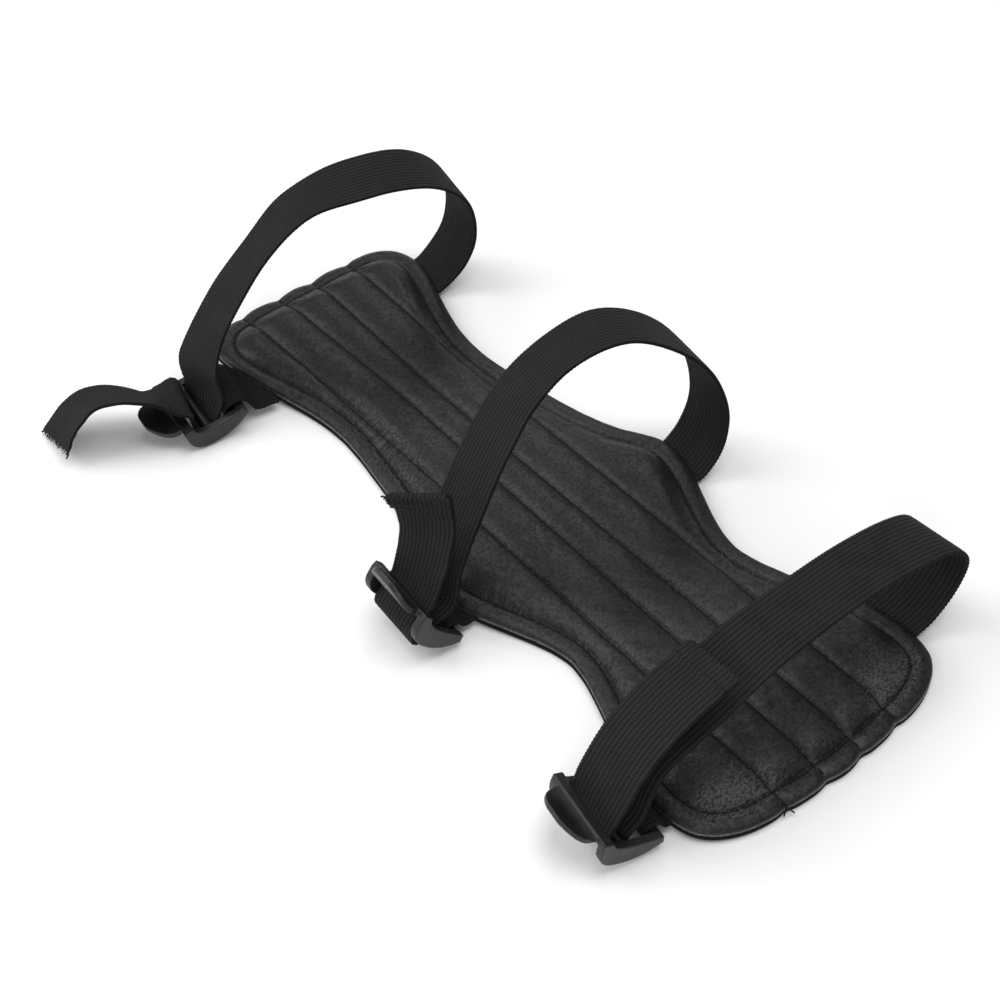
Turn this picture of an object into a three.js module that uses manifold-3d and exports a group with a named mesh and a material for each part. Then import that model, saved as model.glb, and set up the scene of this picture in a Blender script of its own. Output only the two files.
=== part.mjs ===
// Archery arm guard lying on its back: a quilted leather pad with three elastic straps.
// Each strap is sewn in at an ear on the +Y side, loops over the pad, passes through a ladder-lock
// buckle on the -Y side and ends in a free tail. A short webbing loop holds each buckle.
// Millimetres, +Z up. X runs along the pad, with the elbow end at +X. Z = 0 is the pad's underside.
import * as THREE from 'three';
import { mergeVertices } from 'three/addons/utils/BufferGeometryUtils.js';
import Module from 'manifold-3d';

const wasm = await Module();
wasm.setup();

// Pad layers
const backingThickness = 1.1;
const backingMargin = 0.8;
const layerGap = 0.3;
const coverUnderside = backingThickness + layerGap;

// Quilting: heights of the cover's top at its lip, border stitch, seams and channel crowns
const borderInset = 6.5;
const lipHeight = 4.0;
const stitchHeight = 4.2;
const borderSwell = 0.8;
const seamRise = 0.8;
const seamRiseReach = 6;
const crownRise = 3.0;
const crownReach = 7;
const scallopDepth = 1.2;
const scallopReach = 9;

// Reach of the pad's edge from its middle line, on the strap side and on the buckle side
const padOutline = [
  { x: -130, strapSide: 26, buckleSide: 20 },
  { x: -128, strapSide: 35, buckleSide: 28 },
  { x: -123, strapSide: 40.5, buckleSide: 35 },
  { x: -116, strapSide: 42, buckleSide: 40 },
  { x: -104, strapSide: 39.5, buckleSide: 39.5 },
  { x: -90, strapSide: 34.5, buckleSide: 34.5 },
  { x: -76, strapSide: 30.3, buckleSide: 30.3 },
  { x: -60, strapSide: 28.9, buckleSide: 28.9 },
  { x: -40, strapSide: 31.6, buckleSide: 31.6 },
  { x: -20, strapSide: 35.4, buckleSide: 35.4 },
  { x: -6, strapSide: 40.3, buckleSide: 40.3 },
  { x: 5, strapSide: 46.8, buckleSide: 46.8 },
  { x: 14, strapSide: 46.8, buckleSide: 46.8 },
  { x: 26, strapSide: 42.8, buckleSide: 42.8 },
  { x: 40, strapSide: 36.3, buckleSide: 36.3 },
  { x: 54, strapSide: 32.5, buckleSide: 32.5 },
  { x: 70, strapSide: 36.6, buckleSide: 36.6 },
  { x: 86, strapSide: 43, buckleSide: 43 },
  { x: 98, strapSide: 47.6, buckleSide: 47.6 },
  { x: 110, strapSide: 48.6, buckleSide: 48.6 },
  { x: 119, strapSide: 46.3, buckleSide: 46.3 },
  { x: 125, strapSide: 38.5, buckleSide: 38.5 },
  { x: 128, strapSide: 28, buckleSide: 28 },
  { x: 130, strapSide: 10, buckleSide: 10 },
];

// Distance of the two inner and the two outer seams from the pad's middle line
const seamLines = [
  { x: -125, inner: 7, outer: 22 },
  { x: -60, inner: 5, outer: 20.5 },
  { x: 15, inner: 6, outer: 21.5 },
  { x: 125, inner: 7, outer: 22 },
];

// The ears on the buckle side curl up off the table
const earLifts = [
  { x: -112, reach: 40, rise: 5 },
  { x: 12, reach: 30, rise: 1.2 },
  { x: 106, reach: 30, rise: 1.2 },
];
const liftStart = 22;
const liftReach = 22;

// Columns of the pad's grid from its edge to its middle line
const coverColumns = [
  { from: 'edge', to: 'stitch', steps: 3 },
  { from: 'stitch', to: 'outer', steps: 4 },
  { from: 'outer', to: 'inner', steps: 4 },
  { from: 'inner', to: 'middle', steps: 2 },
];
const backingColumns = [
  { from: 'edge', to: 'stitch', steps: 1 },
  { from: 'stitch', to: 'outer', steps: 2 },
  { from: 'outer', to: 'middle', steps: 1 },
];
const stationSteps = 2;
const seamClearance = 1;

// Straps and webbing
const strapWidth = 20;
const strapThickness = 1.4;
const webbingThickness = 1.2;
const sewnDepth = 7;
const sewnHeight = 2.3;
const sewnExit = 0.6;
const pocketClearance = 0.3;
const pocketRoof = 3.3;
const loopSteps = 4;
const threadSteps = 2;
const tailSteps = 3;
const webbingSteps = 2;
const strapStrips = 1;
const webbingStrips = 5;

// Buckle, measured from its middle bar: "out" runs towards the lift tab, "up" away from the table
const slotHalf = 10.5;
const railThickness = 2.7;
const barRadius = 1.5;
const barSides = 12;
const rearBar = { out: -10, up: 0.8 };
const middleBar = { out: 1.5, up: 0 };
const frontBar = { inner: 6.6, outer: 9.8, bottom: 2.2, top: 4.2 };
const tabRadius = 9.6;
const tabSides = 32;
const tabOverlap = 1;
const tabThickness = 1.8;
const tabDip = { out: 13.4, up: 1.8 };
const tabTip = { out: 19, up: 4.4 };
const profileSegments = 3;
const railBelly = [
  { out: -12, up: 0.2 },
  { out: -7, up: -3 },
  { out: -1, up: -4.7 },
  { out: 5, up: -4.5 },
  { out: 8.6, up: -2 },
];
const railBack = [
  { out: 5.2, up: 2.4 },
  { out: 1.5, up: 1.6 },
  { out: -5, up: 1.9 },
  { out: -11, up: 2.7 },
];

// The strap's way through the buckle: down behind the middle bar, under it and up before it
const threadRows = [
  { out: -3.2, up: 7 },
  { out: -2, up: 3 },
  { out: -1.2, up: 0 },
  { out: -0.4, up: -1.9 },
  { out: 1.5, up: -2.7 },
  { out: 3.4, up: -1.9 },
  { out: 4.2, up: 0 },
  { out: 4.8, up: 3 },
  { out: 5.2, up: 5.6 },
];

// Angles of the webbing round the rear bar, in degrees above the outward direction
const webbingAngles = [90, 50, 10, -30, -70, -110];
const webbingClearance = 0.4;
const webbingLeg = 2.6;
const webbingLegShare = 0.8;

// Strap sections: yaw turns the band's width about Z, tilt raises its elbow-side edge
const straps = [
  {
    name: 'wrist',
    ear: { x: -107, y: 40.3, yaw: -12 },
    loop: [
      { x: -104.5, y: 50.5, z: 12, yaw: -10, tilt: -5 },
      { x: -102.5, y: 53, z: 25, yaw: -8, tilt: -8 },
      { x: -101, y: 48, z: 42, yaw: -7, tilt: -9 },
      { x: -100.5, y: 33, z: 55.5, yaw: -8, tilt: -8 },
      { x: -102.5, y: 10, z: 61, yaw: -11, tilt: -4 },
      { x: -106, y: -11, z: 58.5, yaw: -14, tilt: 8 },
      { x: -107, y: -26, z: 48.5, yaw: -10, tilt: 17 },
      { x: -105, y: -42.5, z: 36, yaw: -5, tilt: 15 },
      { x: -101.5, y: -56, z: 22, yaw: -7, tilt: 8 },
    ],
    buckle: { x: -99.5, y: -58.5, z: 5.9, yaw: -8, pitch: -9 },
    tail: [
      { x: -101.3, y: -69, z: 12.8, yaw: -13, tilt: 4 },
      { x: -104, y: -75, z: 15.8, yaw: -20, tilt: 12 },
      { x: -108.5, y: -81, z: 17.3, yaw: -24, tilt: 18 },
      { x: -112.5, y: -87, z: 16.8, yaw: -20, tilt: 18 },
      { x: -115, y: -93, z: 13.6, yaw: -12, tilt: 15 },
      { x: -116, y: -98, z: 9, yaw: 0, tilt: 18 },
      { x: -116, y: -101.5, z: 4.9, yaw: 10, tilt: 20 },
    ],
    anchor: { x: -97, y: -41.8, yaw: -7 },
  },
  {
    name: 'middle',
    ear: { x: 15.5, y: 46.4, yaw: -3 },
    loop: [
      { x: 15.5, y: 54, z: 8, yaw: -4, tilt: 1 },
      { x: 15, y: 57.5, z: 20, yaw: -7, tilt: 3 },
      { x: 13.5, y: 52.5, z: 39, yaw: -10, tilt: 3 },
      { x: 11, y: 38.5, z: 57, yaw: -13, tilt: 4 },
      { x: 8, y: 19, z: 69, yaw: -15, tilt: 9 },
      { x: 6.5, y: 0.5, z: 68.5, yaw: -14, tilt: 13 },
      { x: 6.3, y: -13, z: 62, yaw: -8, tilt: 13 },
      { x: 7.7, y: -26, z: 49.5, yaw: -4, tilt: 12 },
      { x: 9.5, y: -37, z: 34.5, yaw: -4, tilt: 9 },
      { x: 12, y: -47, z: 21, yaw: -4, tilt: 4 },
    ],
    buckle: { x: 14.4, y: -60, z: 11, yaw: -4, pitch: 50 },
    tail: [
      { x: 13.5, y: -55.8, z: 24, yaw: 0, tilt: 0 },
      { x: 12.3, y: -52.6, z: 31, yaw: 8, tilt: 5 },
      { x: 10.8, y: -51, z: 38.5, yaw: 20, tilt: 9 },
      { x: 9, y: -52, z: 48, yaw: 36, tilt: 13 },
    ],
    anchor: { x: 15, y: -47.4, yaw: -3 },
  },
  {
    name: 'elbow',
    ear: { x: 101, y: 48.2, yaw: 4 },
    loop: [
      { x: 101.5, y: 56, z: 5.5, yaw: 8, tilt: 0 },
      { x: 101.5, y: 63.5, z: 13, yaw: 8, tilt: 0 },
      { x: 101.5, y: 66, z: 22, yaw: 6, tilt: 0 },
      { x: 101.5, y: 61, z: 30.5, yaw: 3, tilt: 1 },
      { x: 101.5, y: 49, z: 36, yaw: 0, tilt: 1 },
      { x: 101.5, y: 28, z: 40, yaw: 0, tilt: 2 },
      { x: 101.5, y: 4, z: 40.3, yaw: -1, tilt: 3 },
      { x: 101.3, y: -18, z: 38.5, yaw: -4, tilt: 4 },
      { x: 101, y: -36, z: 34, yaw: -7, tilt: 5 },
      { x: 100.7, y: -51, z: 25, yaw: -8, tilt: 3 },
    ],
    buckle: { x: 100.6, y: -63.2, z: 7, yaw: -10, pitch: 22 },
    tail: [
      { x: 100.4, y: -64.2, z: 17.8, yaw: -8, tilt: 0 },
      { x: 100.6, y: -57.6, z: 25.3, yaw: -8, tilt: 2 },
      { x: 100.8, y: -48.8, z: 32, yaw: -6, tilt: 4 },
      { x: 101, y: -38.5, z: 37, yaw: -5, tilt: 5 },
      { x: 101.2, y: -25.5, z: 39.4, yaw: -4, tilt: 5 },
    ],
    anchor: { x: 103, y: -49.4, yaw: -7 },
  },
];

const up = new THREE.Vector3(0, 0, 1);

function ease(value) {
  const share = THREE.MathUtils.clamp(value, 0, 1);
  return share * share * (3 - 2 * share);
}

function between(rows, x, column) {
  const last = rows.length - 1;
  if (x <= rows[0].x) return rows[0][column];
  for (let i = 0; i < last; i++) {
    if (x > rows[i + 1].x) continue;
    const share = (x - rows[i].x) / (rows[i + 1].x - rows[i].x);
    return THREE.MathUtils.lerp(rows[i][column], rows[i + 1][column], share);
  }
  return rows[last][column];
}

// Both sides of the pad's outline as one curve through (x, strap side, buckle side)
const outlineRows = padOutline.map((row) => new THREE.Vector3(row.x, row.strapSide, row.buckleSide));
const outlineCurve = new THREE.CatmullRomCurve3(outlineRows);
const stations = outlineCurve.getPoints((padOutline.length - 1) * stationSteps).map((place) => ({
  x: place.x,
  strapSide: place.y,
  buckleSide: place.z,
}));
const padStart = stations[0].x;
const padEnd = stations[stations.length - 1].x;
const strapEdge = stations.map((station) => new THREE.Vector3(station.x, station.strapSide, 0));
const buckleEdge = stations.map((station) => new THREE.Vector3(station.x, -station.buckleSide, 0));
const padEdge = [...strapEdge, ...buckleEdge.reverse(), strapEdge[0]];

function edgeDistance(x, y) {
  const place = new THREE.Vector3(x, y, 0);
  const nearest = new THREE.Vector3();
  let distance = Infinity;
  for (let i = 0; i + 1 < padEdge.length; i++) {
    new THREE.Line3(padEdge[i], padEdge[i + 1]).closestPointToPoint(place, true, nearest);
    distance = Math.min(distance, nearest.distanceTo(place));
  }
  return distance;
}

function seamDistance(x, y) {
  const side = Math.abs(y);
  const toInner = Math.abs(side - between(seamLines, x, 'inner'));
  const toOuter = Math.abs(side - between(seamLines, x, 'outer'));
  return Math.min(toInner, toOuter);
}

// Height of the quilted face: a swollen border, then pillows that rise from every line of stitches
function coverHeight(x, y) {
  const inset = edgeDistance(x, y);
  if (inset < borderInset) {
    const share = inset / borderInset;
    return THREE.MathUtils.lerp(lipHeight, stitchHeight, share) + borderSwell * Math.sin(Math.PI * share);
  }
  const fromBorder = inset - borderInset;
  const base = stitchHeight + seamRise * Math.min(fromBorder / seamRiseReach, 1);
  const slack = 1 - Math.min(Math.min(fromBorder, seamDistance(x, y)) / crownReach, 1);
  return base + crownRise * (1 - slack * slack);
}

function earLift(x, y) {
  let lift = 0;
  for (const ear of earLifts) {
    const offset = Math.min(Math.abs(x - ear.x) / ear.reach, 1);
    const bell = (1 - offset * offset) ** 2;
    lift += ear.rise * bell * ease((-y - liftStart) / liftReach);
  }
  return lift;
}

// Distances from the middle line of the grid columns on one side of a station, from the edge inwards
function columnsAt(x, reach, spans, margin) {
  const stitch = reach - borderInset;
  const outer = Math.min(between(seamLines, x, 'outer'), stitch - seamClearance);
  const inner = Math.min(between(seamLines, x, 'inner'), outer / 2);
  const lines = { edge: reach + margin, stitch, outer, inner, middle: 0 };
  const offsets = [lines.edge];
  for (const span of spans) {
    for (let step = 1; step <= span.steps; step++) {
      offsets.push(THREE.MathUtils.lerp(lines[span.from], lines[span.to], step / span.steps));
    }
  }
  return offsets;
}

function padPlan(spans, margin) {
  const last = stations.length - 1;
  return stations.map((station, index) => {
    const buckleColumns = columnsAt(station.x, station.buckleSide, spans, margin);
    const strapColumns = columnsAt(station.x, station.strapSide, spans, margin);
    const row = [...buckleColumns.map((offset) => -offset), ...strapColumns.reverse().slice(1)];
    const along = THREE.MathUtils.lerp(station.x - margin, station.x + margin, index / last);
    return row.map((y) => new THREE.Vector2(along, y));
  });
}

// The ends are drawn in at the seams, which leaves a scallop between each two
function scalloped(plan) {
  return plan.map((row) => row.map((spot) => {
    const toStart = spot.x - padStart;
    const toEnd = padEnd - spot.x;
    const weight = 1 - Math.min(Math.min(toStart, toEnd) / scallopReach, 1);
    const draw = scallopDepth * weight * (1 - Math.min(seamDistance(spot.x, spot.y) / crownReach, 1));
    return new THREE.Vector2(spot.x + (toStart < toEnd ? draw : -draw), spot.y);
  }));
}

// Closed slab over a grid of places, with a height for its underside and its top at each
function slab(plan, heights, bottom) {
  const rows = plan.length;
  const columns = plan[0].length;
  const size = rows * columns;
  const positions = [];
  plan.forEach((row) => row.forEach((spot) => positions.push(spot.x, spot.y, bottom)));
  plan.forEach((row, r) => row.forEach((spot, c) => positions.push(spot.x, spot.y, heights[r][c])));
  const index = [];
  const quad = (a, b, c, d) => index.push(a, b, c, a, c, d);
  const low = (r, c) => r * columns + c;
  const high = (r, c) => size + r * columns + c;
  for (let r = 0; r + 1 < rows; r++) {
    for (let c = 0; c + 1 < columns; c++) {
      quad(high(r, c), high(r + 1, c), high(r + 1, c + 1), high(r, c + 1));
      quad(low(r, c), low(r, c + 1), low(r + 1, c + 1), low(r + 1, c));
    }
    const far = columns - 1;
    quad(low(r, 0), low(r + 1, 0), high(r + 1, 0), high(r, 0));
    quad(low(r + 1, far), low(r, far), high(r, far), high(r + 1, far));
  }
  for (let c = 0; c + 1 < columns; c++) {
    const end = rows - 1;
    quad(low(0, c + 1), low(0, c), high(0, c), high(0, c + 1));
    quad(low(end, c), low(end, c + 1), high(end, c + 1), high(end, c));
  }
  return indexed(positions, index);
}

function indexed(positions, index) {
  const geometry = new THREE.BufferGeometry();
  geometry.setAttribute('position', new THREE.Float32BufferAttribute(positions, 3));
  geometry.setIndex(index);
  geometry.computeVertexNormals();
  return geometry;
}

function solidFrom(geometry) {
  const bare = geometry.clone();
  bare.deleteAttribute('normal');
  bare.deleteAttribute('uv');
  const merged = mergeVertices(bare);
  return new wasm.Manifold(new wasm.Mesh({
    numProp: 3,
    vertProperties: new Float32Array(merged.attributes.position.array),
    triVerts: new Uint32Array(merged.index.array),
  }));
}

function geometryFrom(solid) {
  const mesh = solid.getMesh();
  return indexed(Array.from(mesh.vertProperties), Array.from(mesh.triVerts));
}

function lifted(geometry, weightAt) {
  const places = geometry.attributes.position;
  for (let i = 0; i < places.count; i++) {
    const x = places.getX(i);
    const y = places.getY(i);
    places.setZ(i, places.getZ(i) + earLift(x, y) * weightAt(x, y));
  }
  geometry.computeVertexNormals();
  return geometry;
}

// Direction of a band's width, and the level direction that leads out of the pad beside it
function widthDirection(yaw, tilt = 0) {
  const turn = THREE.MathUtils.degToRad(yaw);
  const rise = THREE.MathUtils.degToRad(tilt);
  return new THREE.Vector3(Math.cos(turn) * Math.cos(rise), Math.sin(turn) * Math.cos(rise), Math.sin(rise));
}

function outDirection(yaw, side) {
  const turn = THREE.MathUtils.degToRad(yaw);
  return new THREE.Vector3(-Math.sin(turn) * side, Math.cos(turn) * side, 0);
}

// Flat band through rows of centre and width direction, split into strips across its width
function band(rows, width, thickness, strips) {
  const curve = new THREE.CatmullRomCurve3(rows.map((row) => row.centre));
  const gaps = rows.length - 1;
  const sections = [];
  for (let i = 0; i < gaps; i++) {
    const steps = rows[i].steps;
    for (let step = 0; step < steps; step++) sections.push({ row: i, share: step / steps });
  }
  sections.push({ row: gaps - 1, share: 1 });
  const corners = [];
  for (let i = 0; i <= strips; i++) corners.push({ side: (2 * i) / strips - 1, face: -1 });
  for (let i = strips; i >= 0; i--) corners.push({ side: (2 * i) / strips - 1, face: 1 });
  const positions = [];
  for (const { row, share } of sections) {
    const place = (row + share) / gaps;
    const centre = curve.getPoint(place);
    const tangent = curve.getTangent(place);
    const across = rows[row].across.clone().lerp(rows[row + 1].across, ease(share));
    across.addScaledVector(tangent, -across.dot(tangent)).setLength(width / 2);
    const normal = new THREE.Vector3().crossVectors(tangent, across).setLength(thickness / 2);
    for (const { side, face } of corners) {
      const corner = centre.clone().addScaledVector(across, side).addScaledVector(normal, face);
      positions.push(corner.x, corner.y, corner.z);
    }
  }
  const round = corners.length;
  const end = (sections.length - 1) * round;
  const index = [];
  const quad = (a, b, c, d) => index.push(a, b, c, a, c, d);
  for (let i = 0; i < strips; i++) {
    const opposite = round - 1 - i;
    quad(i, opposite, opposite - 1, i + 1);
    quad(end + i, end + i + 1, end + opposite - 1, end + opposite);
  }
  for (let k = 0; k + 1 < sections.length; k++) {
    for (let side = 0; side < round; side++) {
      const a = k * round + side;
      const b = k * round + (side + 1) % round;
      quad(a, b, b + round, a + round);
    }
  }
  return indexed(positions, index);
}

// Place of a buckle: its tab points out along -Y before yaw and pitch turn it
function buckleMatrix({ x, y, z, yaw, pitch }) {
  const turn = new THREE.Matrix4().makeRotationZ(THREE.MathUtils.degToRad(yaw));
  const lean = new THREE.Matrix4().makeRotationX(-THREE.MathUtils.degToRad(pitch));
  return new THREE.Matrix4().makeTranslation(x, y, z).multiply(turn).multiply(lean);
}

function atBuckle(buckle, { out, up: height }) {
  return new THREE.Vector3(0, -out, height).applyMatrix4(buckleMatrix(buckle));
}

function strapGeometry(strap) {
  const across = widthDirection(strap.ear.yaw);
  const out = outDirection(strap.ear.yaw, 1);
  const seat = new THREE.Vector3(strap.ear.x, strap.ear.y, sewnHeight);
  const rows = [
    { centre: seat.clone().addScaledVector(out, -sewnDepth), across, steps: 1 },
    { centre: seat.clone().addScaledVector(out, -sewnDepth / 2), across, steps: 1 },
    { centre: seat.clone().addScaledVector(out, sewnExit), across, steps: loopSteps },
  ];
  const addFree = (row, steps) => rows.push({
    centre: new THREE.Vector3(row.x, row.y, row.z),
    across: widthDirection(row.yaw, row.tilt),
    steps,
  });
  strap.loop.forEach((row) => addFree(row, loopSteps));
  for (const row of threadRows) {
    rows.push({
      centre: atBuckle(strap.buckle, row),
      across: widthDirection(strap.buckle.yaw),
      steps: threadSteps,
    });
  }
  strap.tail.forEach((row) => addFree(row, tailSteps));
  return band(rows, strapWidth, strapThickness, strapStrips);
}

// Webbing loop from its sewn end in the ear, over the buckle's rear bar and back beneath it
function anchorGeometry(strap) {
  const { anchor, buckle } = strap;
  const out = outDirection(buckle.yaw, -1);
  const earOut = outDirection(anchor.yaw, -1);
  const barAcross = widthDirection(buckle.yaw);
  const earAcross = widthDirection(anchor.yaw);
  const seat = new THREE.Vector3(anchor.x, anchor.y, sewnHeight);
  const barCentre = atBuckle(buckle, rearBar);
  const radius = barRadius + webbingClearance + webbingThickness / 2;
  const rows = [];
  for (const reach of [-sewnDepth, -sewnDepth / 2, sewnExit]) {
    const centre = seat.clone().addScaledVector(earOut, reach);
    rows.push({ centre, across: earAcross, steps: webbingSteps });
  }
  const addRound = (along, height) => {
    const centre = barCentre.clone().addScaledVector(out, along).addScaledVector(up, height);
    rows.push({ centre, across: barAcross, steps: webbingSteps });
  };
  addRound(-webbingLeg, radius * webbingLegShare);
  for (const angle of webbingAngles) {
    const turn = THREE.MathUtils.degToRad(angle);
    addRound(radius * Math.cos(turn), radius * Math.sin(turn));
  }
  addRound(-webbingLeg, -radius * webbingLegShare);
  const behindBar = (x, y) => (barCentre.x - x) * out.x + (barCentre.y - y) * out.y;
  const exit = behindBar(seat.x, seat.y) - sewnExit;
  const weightAt = (x, y) => ease((behindBar(x, y) - webbingLeg) / (exit - webbingLeg));
  return lifted(band(rows, strapWidth, webbingThickness, webbingStrips), weightAt);
}

// Cut for a sewn end in the cover's underside
function pocket({ x, y, yaw }) {
  const height = pocketRoof - backingThickness;
  const length = (sewnDepth + pocketClearance) * 2;
  const box = new THREE.BoxGeometry(strapWidth + 2 * pocketClearance, length, height);
  box.rotateZ(THREE.MathUtils.degToRad(yaw));
  box.translate(x, y, backingThickness + height / 2);
  return solidFrom(box);
}

function coverGeometry() {
  const plan = scalloped(padPlan(coverColumns, 0));
  const heights = plan.map((row) => row.map((spot) => coverHeight(spot.x, spot.y)));
  let solid = solidFrom(slab(plan, heights, coverUnderside));
  for (const strap of straps) {
    solid = solid.subtract(pocket(strap.ear)).subtract(pocket(strap.anchor));
  }
  return lifted(geometryFrom(solid), () => 1);
}

function backingGeometry() {
  const plan = padPlan(backingColumns, backingMargin);
  const heights = plan.map((row) => row.map(() => backingThickness));
  return lifted(slab(plan, heights, 0), () => 1);
}

// Profile drawn in the out and up directions, extruded across the buckle and centred at "across"
function acrossBuckle(shape, width, across) {
  const options = { depth: width, bevelEnabled: false, curveSegments: profileSegments };
  const geometry = new THREE.ExtrudeGeometry(shape, options);
  geometry.translate(0, 0, -width / 2);
  const outAxis = new THREE.Vector3(0, -1, 0);
  const acrossAxis = new THREE.Vector3(-1, 0, 0);
  geometry.applyMatrix4(new THREE.Matrix4().makeBasis(outAxis, up, acrossAxis));
  geometry.translate(across, 0, 0);
  return solidFrom(geometry);
}

function planePoints(rows) {
  return rows.map((row) => new THREE.Vector2(row.out, row.up));
}

function railShape() {
  const [rearEnd, ...belly] = planePoints(railBelly);
  const shape = new THREE.Shape();
  shape.moveTo(rearEnd.x, rearEnd.y);
  shape.splineThru([...belly, new THREE.Vector2(frontBar.outer, frontBar.bottom)]);
  shape.lineTo(frontBar.outer, frontBar.top);
  shape.lineTo(frontBar.inner, frontBar.top);
  shape.splineThru(planePoints(railBack));
  return shape;
}

function barShape({ out, up: height }) {
  const shape = new THREE.Shape();
  for (let side = 0; side < barSides; side++) {
    const turn = (2 * Math.PI * side) / barSides;
    const x = out + barRadius * Math.cos(turn);
    const y = height + barRadius * Math.sin(turn);
    if (side === 0) shape.moveTo(x, y);
    else shape.lineTo(x, y);
  }
  return shape;
}

function frontBarShape() {
  const shape = new THREE.Shape();
  shape.moveTo(frontBar.inner, frontBar.bottom);
  shape.lineTo(frontBar.outer, frontBar.bottom);
  shape.lineTo(frontBar.outer, frontBar.top);
  shape.lineTo(frontBar.inner, frontBar.top);
  return shape;
}

// Lift tab: a dished plate cut to a half disc
function tabSolid() {
  const root = { out: frontBar.outer - tabOverlap, up: frontBar.bottom };
  const below = planePoints([root, tabDip, tabTip]);
  const above = below.map((point) => new THREE.Vector2(point.x, point.y + tabThickness));
  const plate = new THREE.Shape();
  plate.moveTo(below[0].x, below[0].y);
  plate.splineThru(below.slice(1));
  plate.lineTo(above[2].x, above[2].y);
  plate.splineThru([above[1], above[0]]);
  const disc = new THREE.CylinderGeometry(tabRadius, tabRadius, 4 * tabRadius, tabSides);
  disc.rotateX(Math.PI / 2);
  disc.translate(0, -frontBar.outer, 0);
  return acrossBuckle(plate, 2 * tabRadius, 0).intersect(solidFrom(disc));
}

function buckleGeometry() {
  const railOffset = slotHalf + railThickness / 2;
  const barWidth = 2 * slotHalf + railThickness;
  const pieces = [
    acrossBuckle(railShape(), railThickness, railOffset),
    acrossBuckle(barShape(rearBar), barWidth, 0),
    acrossBuckle(barShape(middleBar), barWidth, 0),
    acrossBuckle(frontBarShape(), barWidth, 0),
    tabSolid(),
  ];
  let solid = acrossBuckle(railShape(), railThickness, -railOffset);
  for (const piece of pieces) solid = solid.add(piece);
  return geometryFrom(solid);
}

const finishes = {
  leather: { color: 0x343434, roughness: 0.5, metalness: 0 },
  backing: { color: 0x202020, roughness: 0.8, metalness: 0 },
  elastic: { color: 0x1c1c1c, roughness: 0.85, metalness: 0 },
  webbing: { color: 0x181818, roughness: 0.85, metalness: 0 },
  plastic: { color: 0x2c2c2e, roughness: 0.4, metalness: 0 },
};

function piece(name, geometry, finish) {
  const mesh = new THREE.Mesh(geometry, new THREE.MeshStandardMaterial(finishes[finish]));
  mesh.name = name;
  return mesh;
}

const armGuard = new THREE.Group();
armGuard.add(piece('pad_cover', coverGeometry(), 'leather'));
armGuard.add(piece('pad_backing', backingGeometry(), 'backing'));
for (const strap of straps) {
  armGuard.add(piece(`strap_${strap.name}`, strapGeometry(strap), 'elastic'));
  armGuard.add(piece(`anchor_${strap.name}`, anchorGeometry(strap), 'webbing'));
  const buckle = piece(`buckle_${strap.name}`, buckleGeometry(), 'plastic');
  buckle.applyMatrix4(buckleMatrix(strap.buckle));
  armGuard.add(buckle);
}

export default armGuard;
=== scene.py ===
# Archery arm guard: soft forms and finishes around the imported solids, in metres
import math
import bmesh
import bpy
import numpy as np
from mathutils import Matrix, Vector, noise
from mathutils.bvhtree import BVHTree
from mathutils.geometry import delaunay_2d_cdt
from mathutils.kdtree import KDTree


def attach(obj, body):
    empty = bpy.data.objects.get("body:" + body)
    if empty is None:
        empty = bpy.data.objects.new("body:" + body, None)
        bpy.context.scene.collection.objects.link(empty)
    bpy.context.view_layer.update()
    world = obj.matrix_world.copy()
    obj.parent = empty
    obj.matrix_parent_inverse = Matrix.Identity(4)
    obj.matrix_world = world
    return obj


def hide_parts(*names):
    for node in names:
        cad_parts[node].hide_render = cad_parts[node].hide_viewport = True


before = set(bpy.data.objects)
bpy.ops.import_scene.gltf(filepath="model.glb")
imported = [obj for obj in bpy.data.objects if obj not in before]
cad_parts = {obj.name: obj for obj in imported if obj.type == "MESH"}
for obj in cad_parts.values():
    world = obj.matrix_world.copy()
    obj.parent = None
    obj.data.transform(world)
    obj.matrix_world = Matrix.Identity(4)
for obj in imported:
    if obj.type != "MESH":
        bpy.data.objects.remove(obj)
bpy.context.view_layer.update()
scene = bpy.context.scene
mm = 0.001
strapNames = ("wrist", "middle", "elbow")
skyward, tableward = Vector((0, 0, 1)), Vector((0, 0, -1))
clearOfAll = 50 * mm  # where a ray up or down starts
print("frame loaded:", len(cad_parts), "nodes")


# small helpers for meshes
def linkPiece(name, data):
    piece = bpy.data.objects.new(name, data)
    scene.collection.objects.link(piece)
    return piece


def addPiece(name, points, faces):
    mesh = bpy.data.meshes.new(name)
    mesh.from_pydata([tuple(p) for p in points], [], [tuple(int(i) for i in face) for face in faces])
    mesh.update()
    mesh.shade_smooth()
    return linkPiece(name, mesh)


def addPaths(name, paths):
    # loose polylines that a node tree turns into stitches or threads
    points, edges = [], []
    for path in paths:
        first = len(points)
        points.extend(tuple(p) for p in path)
        edges.extend((first + i, first + i + 1) for i in range(len(path) - 1))
    mesh = bpy.data.meshes.new(name)
    mesh.from_pydata(points, edges, [])
    return linkPiece(name, mesh)


def storeValues(piece, name, values):
    layer = piece.data.attributes.new(name, "FLOAT", "POINT")
    layer.data.foreach_set("value", np.asarray(values, np.float32))


def settle(piece):
    # the evaluated result becomes the piece's own plain mesh
    graph = bpy.context.evaluated_depsgraph_get()
    source = piece.evaluated_get(graph)
    made = bpy.data.meshes.new_from_object(source, preserve_all_data_layers=True, depsgraph=graph)
    old = piece.data
    piece.modifiers.clear()
    piece.data = made
    bpy.data.meshes.remove(old)
    made.name = piece.name
    made.shade_smooth()
    return piece


def finishPiece(piece, material, node=None):
    piece.data.materials.clear()
    piece.data.materials.append(material)
    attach(piece, "root")
    if node:
        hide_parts(node)
    print("made", piece.name, len(piece.data.polygons), "faces")
    return piece


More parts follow.
